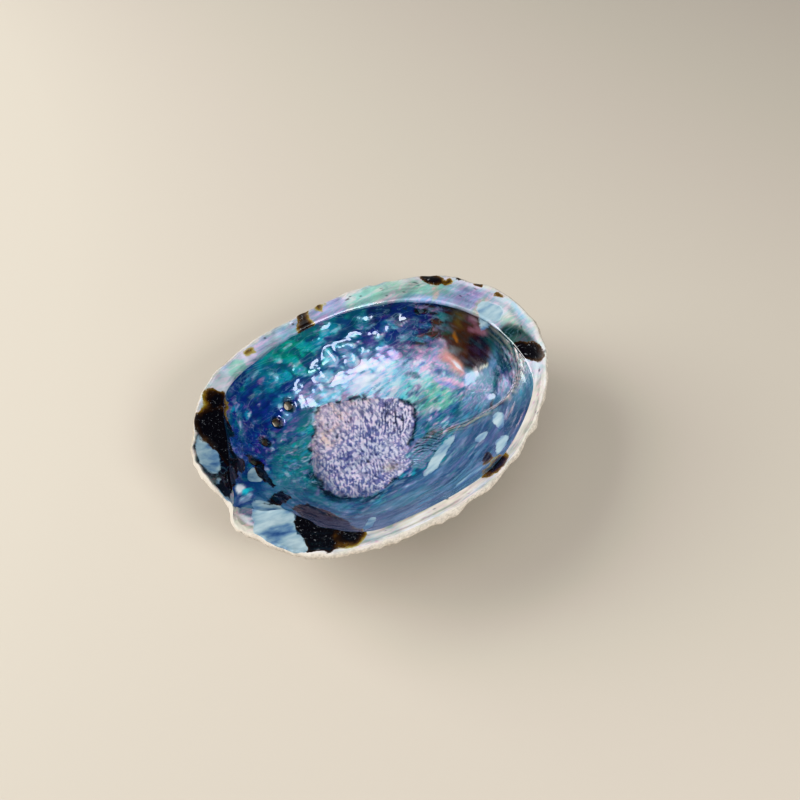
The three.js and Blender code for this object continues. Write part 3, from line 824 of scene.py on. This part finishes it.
# Basin: the patches over a base hue, then bands of random fields as streaks, which run round the wall
# and along the shell elsewhere
def paintBasin(s, lift):
    x, y, z = placeOf(s)
    plan = bentPlan(s, 2.2, 9, 101)
    wall = ease((s["wayOut"] - 0.72) / 0.15)
    roundWall = ringPlace(s["degrees"], 20, z)
    alongShell = (x * 0.3, y - 0.2 * x, z)
    streak = blend(layered(alongShell, 2.4, 110), layered(roundWall, 3.5, 107), wall)
    tint = np.broadcast_to(toLinear(nacreHues["steel"]), x.shape + (3,))
    tint = paintPatches(tint, basinPatches, plan, 0.5 * streak, 1.22, 0.5)
    near, inPit = nearSide(s), fireless(x, y)
    calm = np.clip(1 - 0.92 * inPit - 0.55 * near, 0, 1)
    for hue, (seed, level, strength) in streaks.items():
        field = blend(layered(alongShell, 2, seed), layered(roundWall, 2.4, seed), wall)
        tint = paint(tint, hue, strength * calm * ease((field - level + 0.2) / 0.3))
    along = ringPlace(s["degrees"], 6, z * 0.9 + s["wayOut"] * 18)
    lines = layered(along, 1.7, 131)
    tint = paintFields(tint, (
        ("navy", 0.65 * near, lines, 0.05, 0.35), ("steel", 0.6 * near, -lines, 0.12, 0.3),
        ("violet", 0.35 * near, layered(along, 2.6, 134), 0.25, 0.3),
        ("sea", 0.3 * near, layered(along, 3.2, 137), 0.2, 0.3)))
    tint = paint(tint, "steel", 0.28 * near)
    # Painted highlights over the streaks, with a few dark marks among them
    tint = paintPatches(tint, paintedHighlightsAndMarks, plan, 0.7 * streak, 1.2, 0.8)
    # Painted highlights on the lumps' crests, white along the pore row and green-blue above it, and painted
    # shade in the creases between them
    hammer, bumpy = hammered(s)
    away, share = alongPath(x, y, "keel")
    row = bell(away + 1, 4.2) * ease((share - 0.3) / 0.25) * ease((0.95 - share) / 0.1)
    crestHighlight = ease((hammer + 0.05) / 0.35) * bumpy
    tint = paint(tint, "ice", 0.4 * crestHighlight * row)
    tint = paint(tint, "cyan", 0.45 * crestHighlight * (1 - row) * ease((22 - x) / 20) * ease((x + 32) / 12))
    tint = paint(tint, "indigo", 0.75 * ease((-hammer + 0.05) / 0.3) * bumpy * (1 - inPit))
    # Painted shade on the low places of the relief, lighter on its high places
    tint = tint * (0.75 + 0.4 * ease((lift + 0.5) / 0.9))[..., None]
    # Painted shade: dark collars inside the open pores' funnels
    for px, py in openPores:
        tint = paint(tint, "ink", 0.9 * ease((2.9 - np.hypot(x - px, y - py)) / 0.9))
    # Layers of the overlap's step show as thin dark and golden lines
    away, share, layer = overlapLayers(s)
    line = bell((layer - 0.1) * 4, 1) * ease((share - 0.08) / 0.3) * bell(away + 0.8, 3)
    tint = paint(tint, "ink", 0.95 * line)
    gold = bell((layer - 0.55) * 4, 1) * ease((share - 0.08) / 0.3) * bell(away, 2.6)
    return paint(tint, "sand", 0.9 * gold)


# Painted highlights: glints along the pore row, beside the pit and at the notch, with a grey haze and a few
# dark marks, as the patches
paintedHighlightsAndMarks = {
    "rowLeft": [-15, 37.5, 5, 1.6, 15, "pearl", 0.9],
    "rowMiddle": [1, 38, 8, 2.2, 4, "pearl", 1.0],
    "rowRight": [14, 36.5, 7, 1.8, -8, "pearl", 0.95],
    "rowEnd": [24, 34.5, 6, 1.8, -18, "lilac", 0.9],
    "belowRow": [-3, 33.5, 6, 2.4, 5, "ice", 0.8],
    "middle": [12, 30, 10, 2.4, 8, "pearl", 0.9],
    "middleLow": [6, 27, 8, 2, 10, "ice", 0.8],
    "middleLine": [20, 22, 12, 1.6, 24, "pearl", 0.75],
    "overScar": [-12, 30, 7, 2, 20, "ice", 0.7],
    "middleRight": [27, 27, 6, 2.4, 12, "ice", 0.85],
    "pitPink": [46.6, 14.5, 8, 2.4, -70, "salmon", 0.9],
    "pitPinkCore": [47.2, 13.2, 5, 0.9, -70, "pearl", 0.95],
    "besidePit": [42, 9, 8, 1.6, -66, "blush", 0.85],
    "besidePitNext": [38.5, 12, 7, 1.1, -64, "lilac", 0.8],
    "pitGold": [53, 3, 1.6, 0.5, -40, "cream", 0.9],
    "pitHaze": [48.5, -3, 6, 4, -30, "grey", 0.85],
    "pitEdge": [45, -13.5, 3.5, 1.4, 40, "umber", 0.85],
    "middleShade": [31, 21, 3.5, 1.2, -60, "navy", 0.7],
    "notchFlash": [-62.5, 4, 2.6, 1.6, 50, "pearl", 1],
    "notchFlashLow": [-62.5, -1.5, 2.8, 1.4, 20, "ice", 0.95],
    "notchCyan": [-60.5, 1.5, 1.6, 1, 20, "cyan", 0.9],
    "poreFlash": [-43, 18.5, 3, 1.1, 45, "ice", 0.9],
    "poreFlashLow": [-49, 12, 2.4, 1.2, 60, "ice", 0.8],
}

# Streaks of the basin, as hue: [seed, level, strength]
streaks = {
    "cyan": [201, 0.45, 0.5], "emerald": [204, 0.5, 0.4], "lilac": [207, 0.42, 0.5],
    "indigo": [210, 0.4, 0.5], "pearl": [213, 0.5, 0.65], "blush": [216, 0.55, 0.35],
    "navy": [219, 0.45, 0.5],
}


# Muscle scar: pale fibrous ridges with deep blue between them, warmer and pitted along its far edge
def paintScar(tint, s):
    x, y, z = place = placeOf(s)
    basin = 1 - ease(s["onShelf"] * 2)
    inside = raggedScar(s) + 0.9 * lumps(place, 1.5, 13)
    mask = ease(inside) * basin
    grooves = scarGrooves(x, y, z)
    blotch = layered(place, 7, 301)
    warm = np.clip(ease((y - 0.35 * x - 14) / 12) + ease((-x - 24) / 8) * 0.5 + 0.5 * blotch, 0, 1)
    ridge = paint(np.broadcast_to(toLinear(nacreHues["lilac"]), tint.shape), "blush", 0.4 * warm)
    ridge = paint(ridge, "bone", 0.45)
    ridge = paint(ridge, "peach", 0.55 * warm * ease(layered(place, 3, 304) * 2))
    deep = ease(0.9 - np.hypot((x + 8) / 24, (y - 2) / 17) + 0.5 * blotch)
    blue = ease((grooves + 0.12 - 0.2 * deep) / 0.35) * (1 - 0.5 * warm)
    ridge = paint(ridge, "steel", 0.3 * deep)
    scar = paint(ridge, "indigo", 0.8 * blue)
    scar = paint(scar, "ink", ease((grooves - 0.8) / 0.15) * ease((blotch + 0.15) * 2) * 0.8)
    fading = ease((10 - inside) / 8) * ease((-x - 0.3 * y - 16) / 8)
    scar = paint(scar, "slate", 0.55 * fading)
    tint = blend(tint, scar, mask[..., None])
    # Black pits and cracks follow the edge, and a cluster of them lies to the right
    edge = bell(inside - 0.4, 1.1) * ease((layered(place, 3.5, 307) + 0.02) / 0.15)
    cluster = bell(np.hypot(x - 13, (y - 9) * 0.8), 5.5) * ease((grooves - 0.15) / 0.3)
    lowerLeft = bell(inside + 0.8, 1.8) * ease((-x * 0.8 - y * 0.5 - 18) / 6)
    tint = paint(tint, "ink", 0.9 * np.clip(edge + cluster + 0.8 * lowerLeft, 0, 1) * basin)
    tint = paint(tint, "sand", 0.6 * bell(np.hypot(x + 4, y + 9), 3) * mask)
    # The smaller scar beside it is grey and combed
    combMask = combMaskAt(s, 0.2) * (1 - mask) * basin
    tint = paint(tint, "grey", 0.75 * combMask)
    teeth = ease((combWave(x, y, z) - 0.2) / 0.4) * ease((x + y * 0.9 + 4 + 6 * blotch) / 4)
    tint = paint(tint, "ink", 0.85 * combMask * teeth)
    return paint(tint, "olive", combMask * 0.5 * bell(np.hypot(x - 19, y + 5), 4))


# Shelf: pastel bands that change along it, and fine lines along the margin; the lip is bone coloured
def paintShelf(s):
    x, y, z = place = placeOf(s)
    band = ringPlace(s["degrees"], 30, s["in"] * 0.8)
    tint = np.broadcast_to(toLinear(nacreHues["ice"]), x.shape + (3,))
    tint = paintFields(tint, (
        (hue, strength, layered(band, 7, seed), -0.1, 0.5) for hue, seed, strength in (
            ("mint", 401, 0.9), ("lilac", 404, 0.75), ("pearl", 407, 0.8), ("cream", 410, 0.6),
            ("blush", 413, 0.35), ("sea", 416, 0.3))))
    tint = paintPatches(tint, shelfPatches, bentPlan(s, 2.5, 7, 440), 0, 1.2, 0.45)
    fold = bellAround(s["degrees"], -153, 20)
    lip = nearness(s, -0.05, 0.3) * (1 - fold * ease((s["in"] - 3.5 - 1.5 * lumps(place, 5, 446)) / 1.5))
    bone = np.broadcast_to(toLinear(nacreHues["bone"]), tint.shape)
    lines = layered(ringPlace(s["degrees"], 7, s["in"] * 1.1), 1.6, 420)
    bone = paintFields(bone, (
        ("sand", 0.7, lines, 0.05, 0.4), ("pearl", 0.5, -lines, 0.1, 0.4),
        ("rose", 0.55, layered(place, 1.6, 423), 0.55, 0.15)))
    tint = blend(tint, bone, (lip * 0.95)[..., None])
    for shade in (1 - 0.22 * ease(shelfLines(s) * 2), 0.88 + 0.12 * lip,
                  0.94 + 0.28 * layered((x, y * 0.8, z), 5, 450)):
        tint = tint * shade[..., None]
    # Black flecks and a worn tan edge
    fleck = ease((layered((x * 0.8, y, z), 1.8, 430) - 0.66) / 0.08)
    tint = paint(tint, "ink", 0.85 * fleck)
    worn = ease((2.6 + 1.2 * lumps(place, 3, 433) - s["in"]) / 1.2)
    return paint(tint, "chalk", 0.75 * worn)


# Outside: chalk with rusty and weedy bands at a steady distance from the apex, crust, and painted shade in
# the hollows of the relief
def paintCrust(s, lift):
    place = placeOf(s)
    tint = np.broadcast_to(toLinear(nacreHues["drift"]), s["x"].shape + (3,))
    tint = paintFields(tint, (
        ("rust", 0.75, growthBands(s, 6, 501), -0.1, 0.5),
        ("weed", 0.6, layered(place, 10, 504), 0.1, 0.4),
        ("chalk", 0.85, layered(place, 5, 97), 0.05, 0.3),
        ("algae", 0.6, layered(place, 7, 507), 0.3, 0.25),
        # painted shade in the hollows of the relief
        ("shade", 0.7, -lift, 0.55, 0.5)))
    lip = nearness(s, 0.25, 0.3)
    rim = ease((s["edgeness"] - 0.45 + 0.25 * layered(place, 4, 520)) / 0.3)
    tint = paint(tint, "bone", 0.9 * rim * lip)
    tint = paint(tint, "sand", 0.7 * rim * (1 - lip))
    # Worn through to the nacre over the apex
    bare = bell(np.hypot(s["x"] - apex[0], s["y"] - apex[1]) + 4 * lumps(place, 4, 510), 11)
    return paint(paint(tint, "pearl", bare), "sea", 0.5 * bare * ease(lumps(place, 3, 513)))


# Basin with its scar, then the shelf over it, then the outside over both
def paintShell(s, lift):
    onShelf, outside = ease(s["onShelf"] * 1.6)[..., None], s["outside"][..., None]
    tint = paintScar(paintBasin(s, lift), s)
    tint = blend(tint, paintShelf(s), onShelf)
    return blend(tint, paintCrust(s, lift), ease(outside * 3))


surface["tint"] = paintShell(surface, lift)
onTop = 1 - surface["outside"]
surface["brown"] = patchField(surface, brownPatches, 601, 2.8) * onTop
# On the near side the lip stays pale outside the brown, and on the far side the wall below stays nacre
farness = np.sin(np.radians(surface["degrees"]))
spireness = np.cos(np.radians(surface["degrees"] - 45))
ragged = lumps(placeOf(surface), 4, 611)
for side, limit in ((ease((0.3 - farness) / 0.2), 0.5 + 0.1 * (surface["in"] - 2.2 + 1.2 * ragged)),
                    (ease((spireness - 0.4) / 0.2), 0.42 + 0.4 * surface["onShelf"])):
    limited = np.minimum(surface["brown"], np.clip(limit, 0, 1.2))
    surface["brown"] = blend(surface["brown"], limited, side)
surface["thick"] = brownThickness(surface["x"], surface["y"])
surface["glaze"] = patchField(surface, glazePatches, 607, 1.2) * onTop
surface["glaze"] = np.minimum(surface["glaze"], np.clip(0.4 + 0.12 * surface["in"] + 0.1 * ragged, 0, 1.2))
scarDepth = insideScar(surface["x"], surface["y"])
quiet = 0.9 * fireless(surface["x"], surface["y"]) + 0.5 * nearSide(surface)
quiet = np.clip(quiet + 0.7 * ease(scarDepth / 2), 0, 1)
surface["fire"] = 1 - quiet * (1 - surface["onShelf"]) - 0.35 * surface["onShelf"]
surface["dull"] = ease(scarDepth / 2) * (1 - surface["onShelf"]) * onTop
surface["crust"] = np.clip(surface["outside"] * 2 + 0.6 * surface["edgeness"] ** 8, 0, 1)
print("painted")


# Grid to mesh: quads between rings and sectors, with a fan of triangles at each pole
def makeShellMesh(s):
    rings, sectors = s["x"].shape
    grid = np.stack([s["x"], s["y"], s["z"]], -1)
    points = np.concatenate([grid.reshape(-1, 3), [grid[0].mean(0)], [grid[-1].mean(0)]])
    index = np.arange(rings * sectors).reshape(rings, sectors)
    ahead = np.roll(index, -1, axis=1)
    quads = np.stack([index[:-1], index[1:], ahead[1:], ahead[:-1]], -1).reshape(-1, 4)
    inner = np.stack([np.full(sectors, rings * sectors), index[0], ahead[0]], -1)
    outer = np.stack([index[-1], np.full(sectors, rings * sectors + 1), ahead[-1]], -1)
    mesh = bpy.data.meshes.new("shell")
    mesh.from_pydata(points.tolist(), [], quads.tolist() + inner.tolist() + outer.tolist())
    return mesh, points


# Links an object with this mesh, light or camera into the scene
def makeObject(name, content):
    piece = bpy.data.objects.new(name, content)
    bpy.context.scene.collection.objects.link(piece)
    return piece


poreFlare = 0.75                # how much wider a pore gets towards the back, over 3 wall thicknesses


# Bars for the pores, all in one mesh: rings of points turned square to the even hollow, wider outside
def makePoreCutter():
    sides = 48
    turn = np.arange(sides)[:, None] * 2 * math.pi / sides
    low = np.arange(sides)
    points, faces = [], []
    for (x, y), diameter in zip(openPores, poreDiameters):
        angle = math.atan2(y - poleY, x - poleX)
        radius, degrees = math.hypot(x - poleX, y - poleY), np.array([math.degrees(angle)])
        slope = float((evenHollow(radius + 1, degrees) - evenHollow(radius - 1, degrees))[0]) / 2
        axis = np.array([-slope * math.cos(angle), -slope * math.sin(angle), 1])
        axis = axis / np.linalg.norm(axis)
        side = np.cross([0, 1, 0], axis) / np.linalg.norm(np.cross([0, 1, 0], axis))
        ring = diameter / 2 * (np.cos(turn) * side + np.sin(turn) * np.cross(axis, side))
        middle = np.array([x, y, float(evenHollow(radius, degrees)[0])])
        reach = 3 * sizes["wallThickness"] * axis
        first = sides * len(points)
        points += [middle + ring * (1 + poreFlare) - reach, middle + ring * (1 - poreFlare) + reach]
        walls = np.stack([low, np.roll(low, -1), np.roll(low, -1) + sides, low + sides], -1) + first
        faces += walls.tolist() + [(low[::-1] + first).tolist(), (low + sides + first).tolist()]
    mesh = bpy.data.meshes.new("pores")
    mesh.from_pydata(np.concatenate(points).tolist(), [], faces)
    return makeObject("pores", mesh)


mesh, gridPoints = makeShellMesh(surface)
shell = makeObject("shell_nacre", mesh)
cutter = makePoreCutter()
cut = shell.modifiers.new("pores", "BOOLEAN")
cut.operation, cut.solver, cut.object = "DIFFERENCE", "EXACT", cutter
with bpy.context.temp_override(object=shell, active_object=shell):
    bpy.ops.object.modifier_apply(modifier=cut.name)
bpy.data.objects.remove(cutter)
mesh = shell.data
print("pores cut:", len(mesh.polygons), "faces")


# One whole number for each place, to a 2000th of a millimetre
def placeKey(points):
    return np.round(points * 2000).astype(np.int64) @ np.array([1, 10**7, 10**13])


# The cut mesh takes its paint from the grid: from the same point, or from the nearest one at the pores
def sourcePoints(mesh, gridPoints):
    found = np.zeros(len(mesh.vertices) * 3, np.float32)
    mesh.vertices.foreach_get("co", found)
    found = found.reshape(-1, 3)
    grid = gridPoints.astype(np.float32)
    order = np.argsort(placeKey(grid))
    place = np.clip(np.searchsorted(placeKey(grid)[order], placeKey(found)), 0, len(grid) - 1)
    source = order[place]
    fresh = np.flatnonzero(np.abs(grid[source] - found).max(1) > 0.01)
    for start in range(0, len(fresh), 200):
        part = fresh[start:start + 200]
        away = ((found[part][:, None] - grid[None]) ** 2).sum(-1)
        source[part] = away.argmin(1)
    return source, found


source, found = sourcePoints(mesh, gridPoints)


# Values of the grid's field at the mesh's points, with the first and last rings' means at the poles
def fieldAtPoints(field):
    flat = field.reshape(-1, *field.shape[2:])
    poles = np.stack([field[0].mean(0), field[-1].mean(0)])
    return np.concatenate([flat, poles])[source]


shellFields = ("brown", "thick", "glaze", "fire", "dull", "crust")
for name in shellFields:
    layer = mesh.attributes.new(name, "FLOAT", "POINT")
    layer.data.foreach_set("value", fieldAtPoints(surface[name]).astype(np.float32))
tint = fieldAtPoints(surface["tint"])
layer = mesh.attributes.new("tint", "FLOAT_COLOR", "POINT")
layer.data.foreach_set("color", np.column_stack([tint, np.ones(len(tint))]).astype(np.float32).ravel())

# Onto the CAD frame, in metres
mesh.vertices.foreach_set("co", ((found - [-formShift[0], -formShift[1], ground]) * mm).ravel())
mesh.update()
mesh.polygons.foreach_set("use_smooth", np.ones(len(mesh.polygons), bool))
mesh.set_sharp_from_angle(angle=math.radians(70))     # steeper edges aren't smoothed over


# Adds a node and gives one of its outputs: a setting is an attribute by its name or an input by its
# name or number, with a link where the value is another node's output
def addNode(tree, kind, settings, output=0):
    node = tree.nodes.new("ShaderNode" + kind)
    for key, value in settings.items():
        if key == "stops":
            ramp = node.color_ramp
            while len(ramp.elements) < len(value):
                ramp.elements.new(1)
            for element, (position, hexColour) in zip(ramp.elements, value):
                element.position = position
                element.color = (*toLinear(hexColour), 1)
        elif isinstance(key, str) and hasattr(node, key):
            setattr(node, key, value)
        elif isinstance(value, bpy.types.NodeSocket):
            tree.links.new(value, node.inputs[key])
        else:
            node.inputs[key].default_value = value
    return node.outputs[output] if node.outputs else None


# Sockets of a colour Mix node
mixFactor, mixFirst, mixSecond, mixResult = 0, 6, 7, 2

nacreLook = {
    "fineStreak": 0.9,          # mm across the finest streaks that show
    "smearWidth": 2.5,          # mm across the smears in the pale-blue patches
    "fibreWidth": 0.7,
    "threadSpacing": 5,         # mm between the bright threads
    "fireStrength": 0.68,
    "roughness": 0.2,
    "scarRoughness": 0.5,
    "crustRoughness": 0.85,
    "coat": 0.6,
    "pearliness": 0.25,
    "bumpHeight": 0.12,
    "fibre": "#6a74a6",
    "thread": "#8fb6c8",
    "speck": "#b9bcbf",
    "fire": [
        (0.3, "#1d2c78"), (0.4, "#2f6f9c"), (0.46, "#3fae9c"), (0.52, "#8a93b8"), (0.58, "#c99bb8"),
        (0.64, "#d9c6d6"), (0.72, "#f2f6ee")],
    "glaze": [(0.32, "#2f4a78"), (0.43, "#5c7c9b"), (0.52, "#86a1ae"), (0.68, "#aabdc2")],
    "brown": [
        (0.1, "#a59a58"), (0.24, "#7d6328"), (0.4, "#4a3218"), (0.56, "#261a12"), (0.8, "#100e10")],
}


# Mother-of-pearl (aragonite, IOR 1.53 to 1.69) grown by the animal: a hard gloss over pastel fire.
# Conchiolin, horny and translucent at its thin edges, and chalky crust outside, dull and dusty.
def makeNacreMaterial():
    material = bpy.data.materials.new("mother_of_pearl")
    material.use_nodes = True
    tree = material.node_tree
    tree.nodes.clear()
    place = addNode(tree, "TexCoord", {}, "Object")
    tint = addNode(tree, "Attribute", {"attribute_name": "tint"}, "Color")
    fields = {name: addNode(tree, "Attribute", {"attribute_name": name}, "Fac") for name in shellFields}
    # Places turned about +Z and drawn out, along the streaks, the scar's fibres and the smears
    drawn = {}
    for name, turn, scale in (("streak", -12, (0.22, 1, 1)), ("fibre", 33.5, (1, 0.3, 0.6)),
                              ("smear", 42, (0.3, 1, 1))):
        drawn[name] = addNode(tree, "Mapping", {
            "Vector": place, "Rotation": (0, 0, math.radians(turn)), "Scale": scale})
    # Noises, as (place, mm across, detail, roughness, distortion)
    noise = {}
    for name, (where, width, detail, roughness, distortion) in {
            "streak": (drawn["streak"], nacreLook["fineStreak"] * 2, 6, 0.72, 0.8),
            "thread": (drawn["streak"], nacreLook["threadSpacing"], 3, 0.5, 1.2),
            "fibre": (drawn["fibre"], nacreLook["fibreWidth"] * 2, 2, 0.5, 0),
            "smear": (drawn["smear"], nacreLook["smearWidth"] * 2, 5, 0.5, 0),
            "ragged": (place, 3, 6, 0.65, 0),
            "patchy": (place, 14, 2, 0.5, 0),
            "dusty": (place, 1.2, 6, 0.7, 0)}.items():
        noise[name] = addNode(tree, "TexNoise", {
            "Vector": where, "Scale": 1 / (width * mm), "Detail": detail, "Roughness": roughness,
            "Distortion": distortion})
    fire = addNode(tree, "ValToRGB", {"Fac": noise["streak"], "stops": nacreLook["fire"]})
    pearly = addNode(tree, "MapRange", {"Value": fields["crust"], "To Min": fields["fire"], "To Max": 0})
    pearly = addNode(tree, "Math", {"operation": "MULTIPLY", 0: pearly, 1: nacreLook["fireStrength"]})
    # Torn ends of the muscle's fibres, finer than the mesh
    fibre = addNode(tree, "MapRange", {
        "Value": noise["fibre"], "From Min": 0.5, "From Max": 0.42, "To Max": 0.6})
    fibre = addNode(tree, "Math", {"operation": "MULTIPLY", 0: fibre, 1: fields["dull"]})
    # Thin bright threads where two tilts of the plates meet
    thread = addNode(tree, "Math", {"operation": "COMPARE", 0: noise["thread"], 1: 0.5, 2: 0.016})
    threadAmount = addNode(tree, "Math", {"operation": "MULTIPLY", 0: pearly, 1: 0.3})
    thread = addNode(tree, "Math", {"operation": "MULTIPLY", 0: thread, 1: threadAmount})
    for name, raggedness in (("brown", 0.34), ("glaze", 0.2)):
        fields[name] = addNode(tree, "Math", {
            "operation": "MULTIPLY_ADD", 0: noise["ragged"], 1: raggedness, 2: fields[name]})
    glazeMask = addNode(tree, "MapRange", {"Value": fields["glaze"], "From Min": 0.58, "From Max": 0.63})
    glazeHue = addNode(tree, "ValToRGB", {"Fac": noise["smear"], "stops": nacreLook["glaze"]})
    brownMask = addNode(tree, "MapRange", {"Value": fields["brown"], "From Min": 0.64, "From Max": 0.685})
    # The brown is darker where it is thick and far from its edge
    depth = fields["brown"]
    for layer, share in ((noise["patchy"], 0.4), (fields["thick"], 0.27)):
        depth = addNode(tree, "Math", {"operation": "MULTIPLY_ADD", 0: layer, 1: share, 2: depth})
    depth = addNode(tree, "MapRange", {"Value": depth, "From Min": 0.9, "From Max": 1.32})
    brownHue = addNode(tree, "ValToRGB", {"Fac": depth, "stops": nacreLook["brown"]})
    # White specks of dust lie on the brown
    speck = addNode(tree, "MapRange", {"Value": noise["dusty"], "From Min": 0.585, "From Max": 0.65})
    for share in (brownMask, 0.35):
        speck = addNode(tree, "Math", {"operation": "MULTIPLY", 0: speck, 1: share})
    dust = addNode(tree, "MapRange", {
        "Value": noise["dusty"], "From Min": 0.35, "From Max": 0.7, "To Min": 0.6, "To Max": 1.15})
    # The layers of colour, one over the other
    hue = tint
    for kind, share, second in (
            ("MULTIPLY", fibre, (*toLinear(nacreLook["fibre"]), 1)), ("OVERLAY", pearly, fire),
            ("SCREEN", thread, (*toLinear(nacreLook["thread"]), 1)), ("MIX", glazeMask, glazeHue),
            ("MIX", brownMask, brownHue), ("MIX", speck, (*toLinear(nacreLook["speck"]), 1)),
            ("MULTIPLY", fields["crust"], dust)):
        hue = addNode(tree, "Mix", {
            "data_type": "RGBA", "blend_type": kind, mixFactor: share, mixFirst: hue,
            mixSecond: second}, mixResult)
    # The scar and the pale-blue patches are duller than the nacre, and the crust is dullest
    dull = addNode(tree, "Math", {"operation": "MAXIMUM", 0: fields["dull"], 1: glazeMask})
    rough = nacreLook["roughness"]
    for share, rougher in (
            (dull, nacreLook["scarRoughness"]), (fields["crust"], nacreLook["crustRoughness"])):
        rough = addNode(tree, "MapRange", {"Value": share, "To Min": rough, "To Max": rougher})
    rough = addNode(tree, "Math", {"operation": "MULTIPLY_ADD", 0: brownMask, 1: 0.05, 2: rough})
    coat, metallic = (addNode(tree, "MapRange", {
        "Value": rough, "From Min": 0.22, "From Max": 0.35, "To Min": nacreLook[name], "To Max": 0})
        for name in ("coat", "pearliness"))
    gritty = addNode(tree, "MapRange", {"Value": fields["crust"], "To Min": 0.25, "To Max": 1})
    bumpSource = addNode(tree, "Mix", {
        "data_type": "RGBA", mixFactor: gritty, mixFirst: noise["streak"].node.outputs["Color"],
        mixSecond: noise["dusty"].node.outputs["Color"]}, mixResult)
    bump = addNode(tree, "Bump", {
        "Height": bumpSource, "Strength": 0.5, "Distance": nacreLook["bumpHeight"] * mm})
    shader = addNode(tree, "BsdfPrincipled", {
        "Base Color": hue, "Roughness": rough, "Metallic": metallic, "IOR": 1.58, "Coat Weight": coat,
        "Coat Roughness": 0.06, "Coat IOR": 1.5, "Normal": bump})
    addNode(tree, "OutputMaterial", {"Surface": shader})
    return material


mesh.materials.append(makeNacreMaterial())
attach(shell, "root")
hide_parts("shell")
print("material made")

floorLook = {"size": 3.0, "colour": "#bfb6a8", "roughness": 0.9}


# A square sheet in the plane that the shell lies on
def makeFloor():
    half = floorLook["size"] / 2
    corners = [(-half, -half, 0), (half, -half, 0), (half, half, 0), (-half, half, 0)]
    floorMesh = bpy.data.meshes.new("floor")
    floorMesh.from_pydata(corners, [], [(0, 1, 2, 3)])
    floor = makeObject("floor", floorMesh)
    material = bpy.data.materials.new("matt_paper")
    material.use_nodes = True
    shader = material.node_tree.nodes["Principled BSDF"]
    shader.inputs["Base Color"].default_value = (*toLinear(floorLook["colour"]), 1)
    shader.inputs["Roughness"].default_value = floorLook["roughness"]
    floorMesh.materials.append(material)
    return floor


makeFloor()

view = {
    "azimuth": -36.5,           # degrees round the shell, from looking along +Y
    "elevation": 52,
    "place": (-129.143, -185.380, 325.961),     # mm
    "lens": 43.085,
}

# Lights, all aimed at the shell, as name: [bearing from the camera's right, elevation, distance, size,
# power]
lights = {
    "window": [166, 34, 0.9, 0.6, 9.5],
    "lamp": [-46, 43, 0.9, 0.26, 4.6],
    "ceiling": [-90, 76, 1.1, 1.0, 3.4],
    "lowLeft": [178, 14, 0.9, 0.4, 3],
    "fill": [-100, 40, 1.3, 1.2, 1],
}
sky = {"colour": "#e8ecf2", "strength": 0.22}


# Camera turned up by 90 degrees less its elevation, then round by its azimuth
def makeCamera():
    camera = makeObject("camera", bpy.data.cameras.new("camera"))
    camera.data.lens = view["lens"]
    camera.data.sensor_width = 36
    camera.location = [value * mm for value in view["place"]]
    camera.rotation_euler = (math.radians(90 - view["elevation"]), 0, math.radians(view["azimuth"]))
    camera.data.clip_start, camera.data.clip_end = 0.01, 20
    bpy.context.scene.camera = camera


# Each light stands at distance * (cos turn cos rise, sin turn cos rise, sin rise), facing the middle
def makeLights():
    for name, (bearing, elevation, distance, size, power) in lights.items():
        light = bpy.data.lights.new(name, "AREA")
        light.size, light.energy = size, power
        piece = makeObject(name, light)
        turn, rise = math.radians(bearing + view["azimuth"]), math.radians(elevation)
        piece.location = (distance * math.cos(turn) * math.cos(rise),
                          distance * math.sin(turn) * math.cos(rise), distance * math.sin(rise))
        piece.rotation_euler = (math.pi / 2 - rise, 0, turn + math.pi / 2)
    world = bpy.data.worlds.new("studio")
    world.use_nodes = True
    world.node_tree.nodes["Background"].inputs["Color"].default_value = (*toLinear(sky["colour"]), 1)
    world.node_tree.nodes["Background"].inputs["Strength"].default_value = sky["strength"]
    bpy.context.scene.world = world
    bpy.context.scene.view_settings.view_transform = "Khronos PBR Neutral"


makeCamera()
makeLights()
print("stage set")
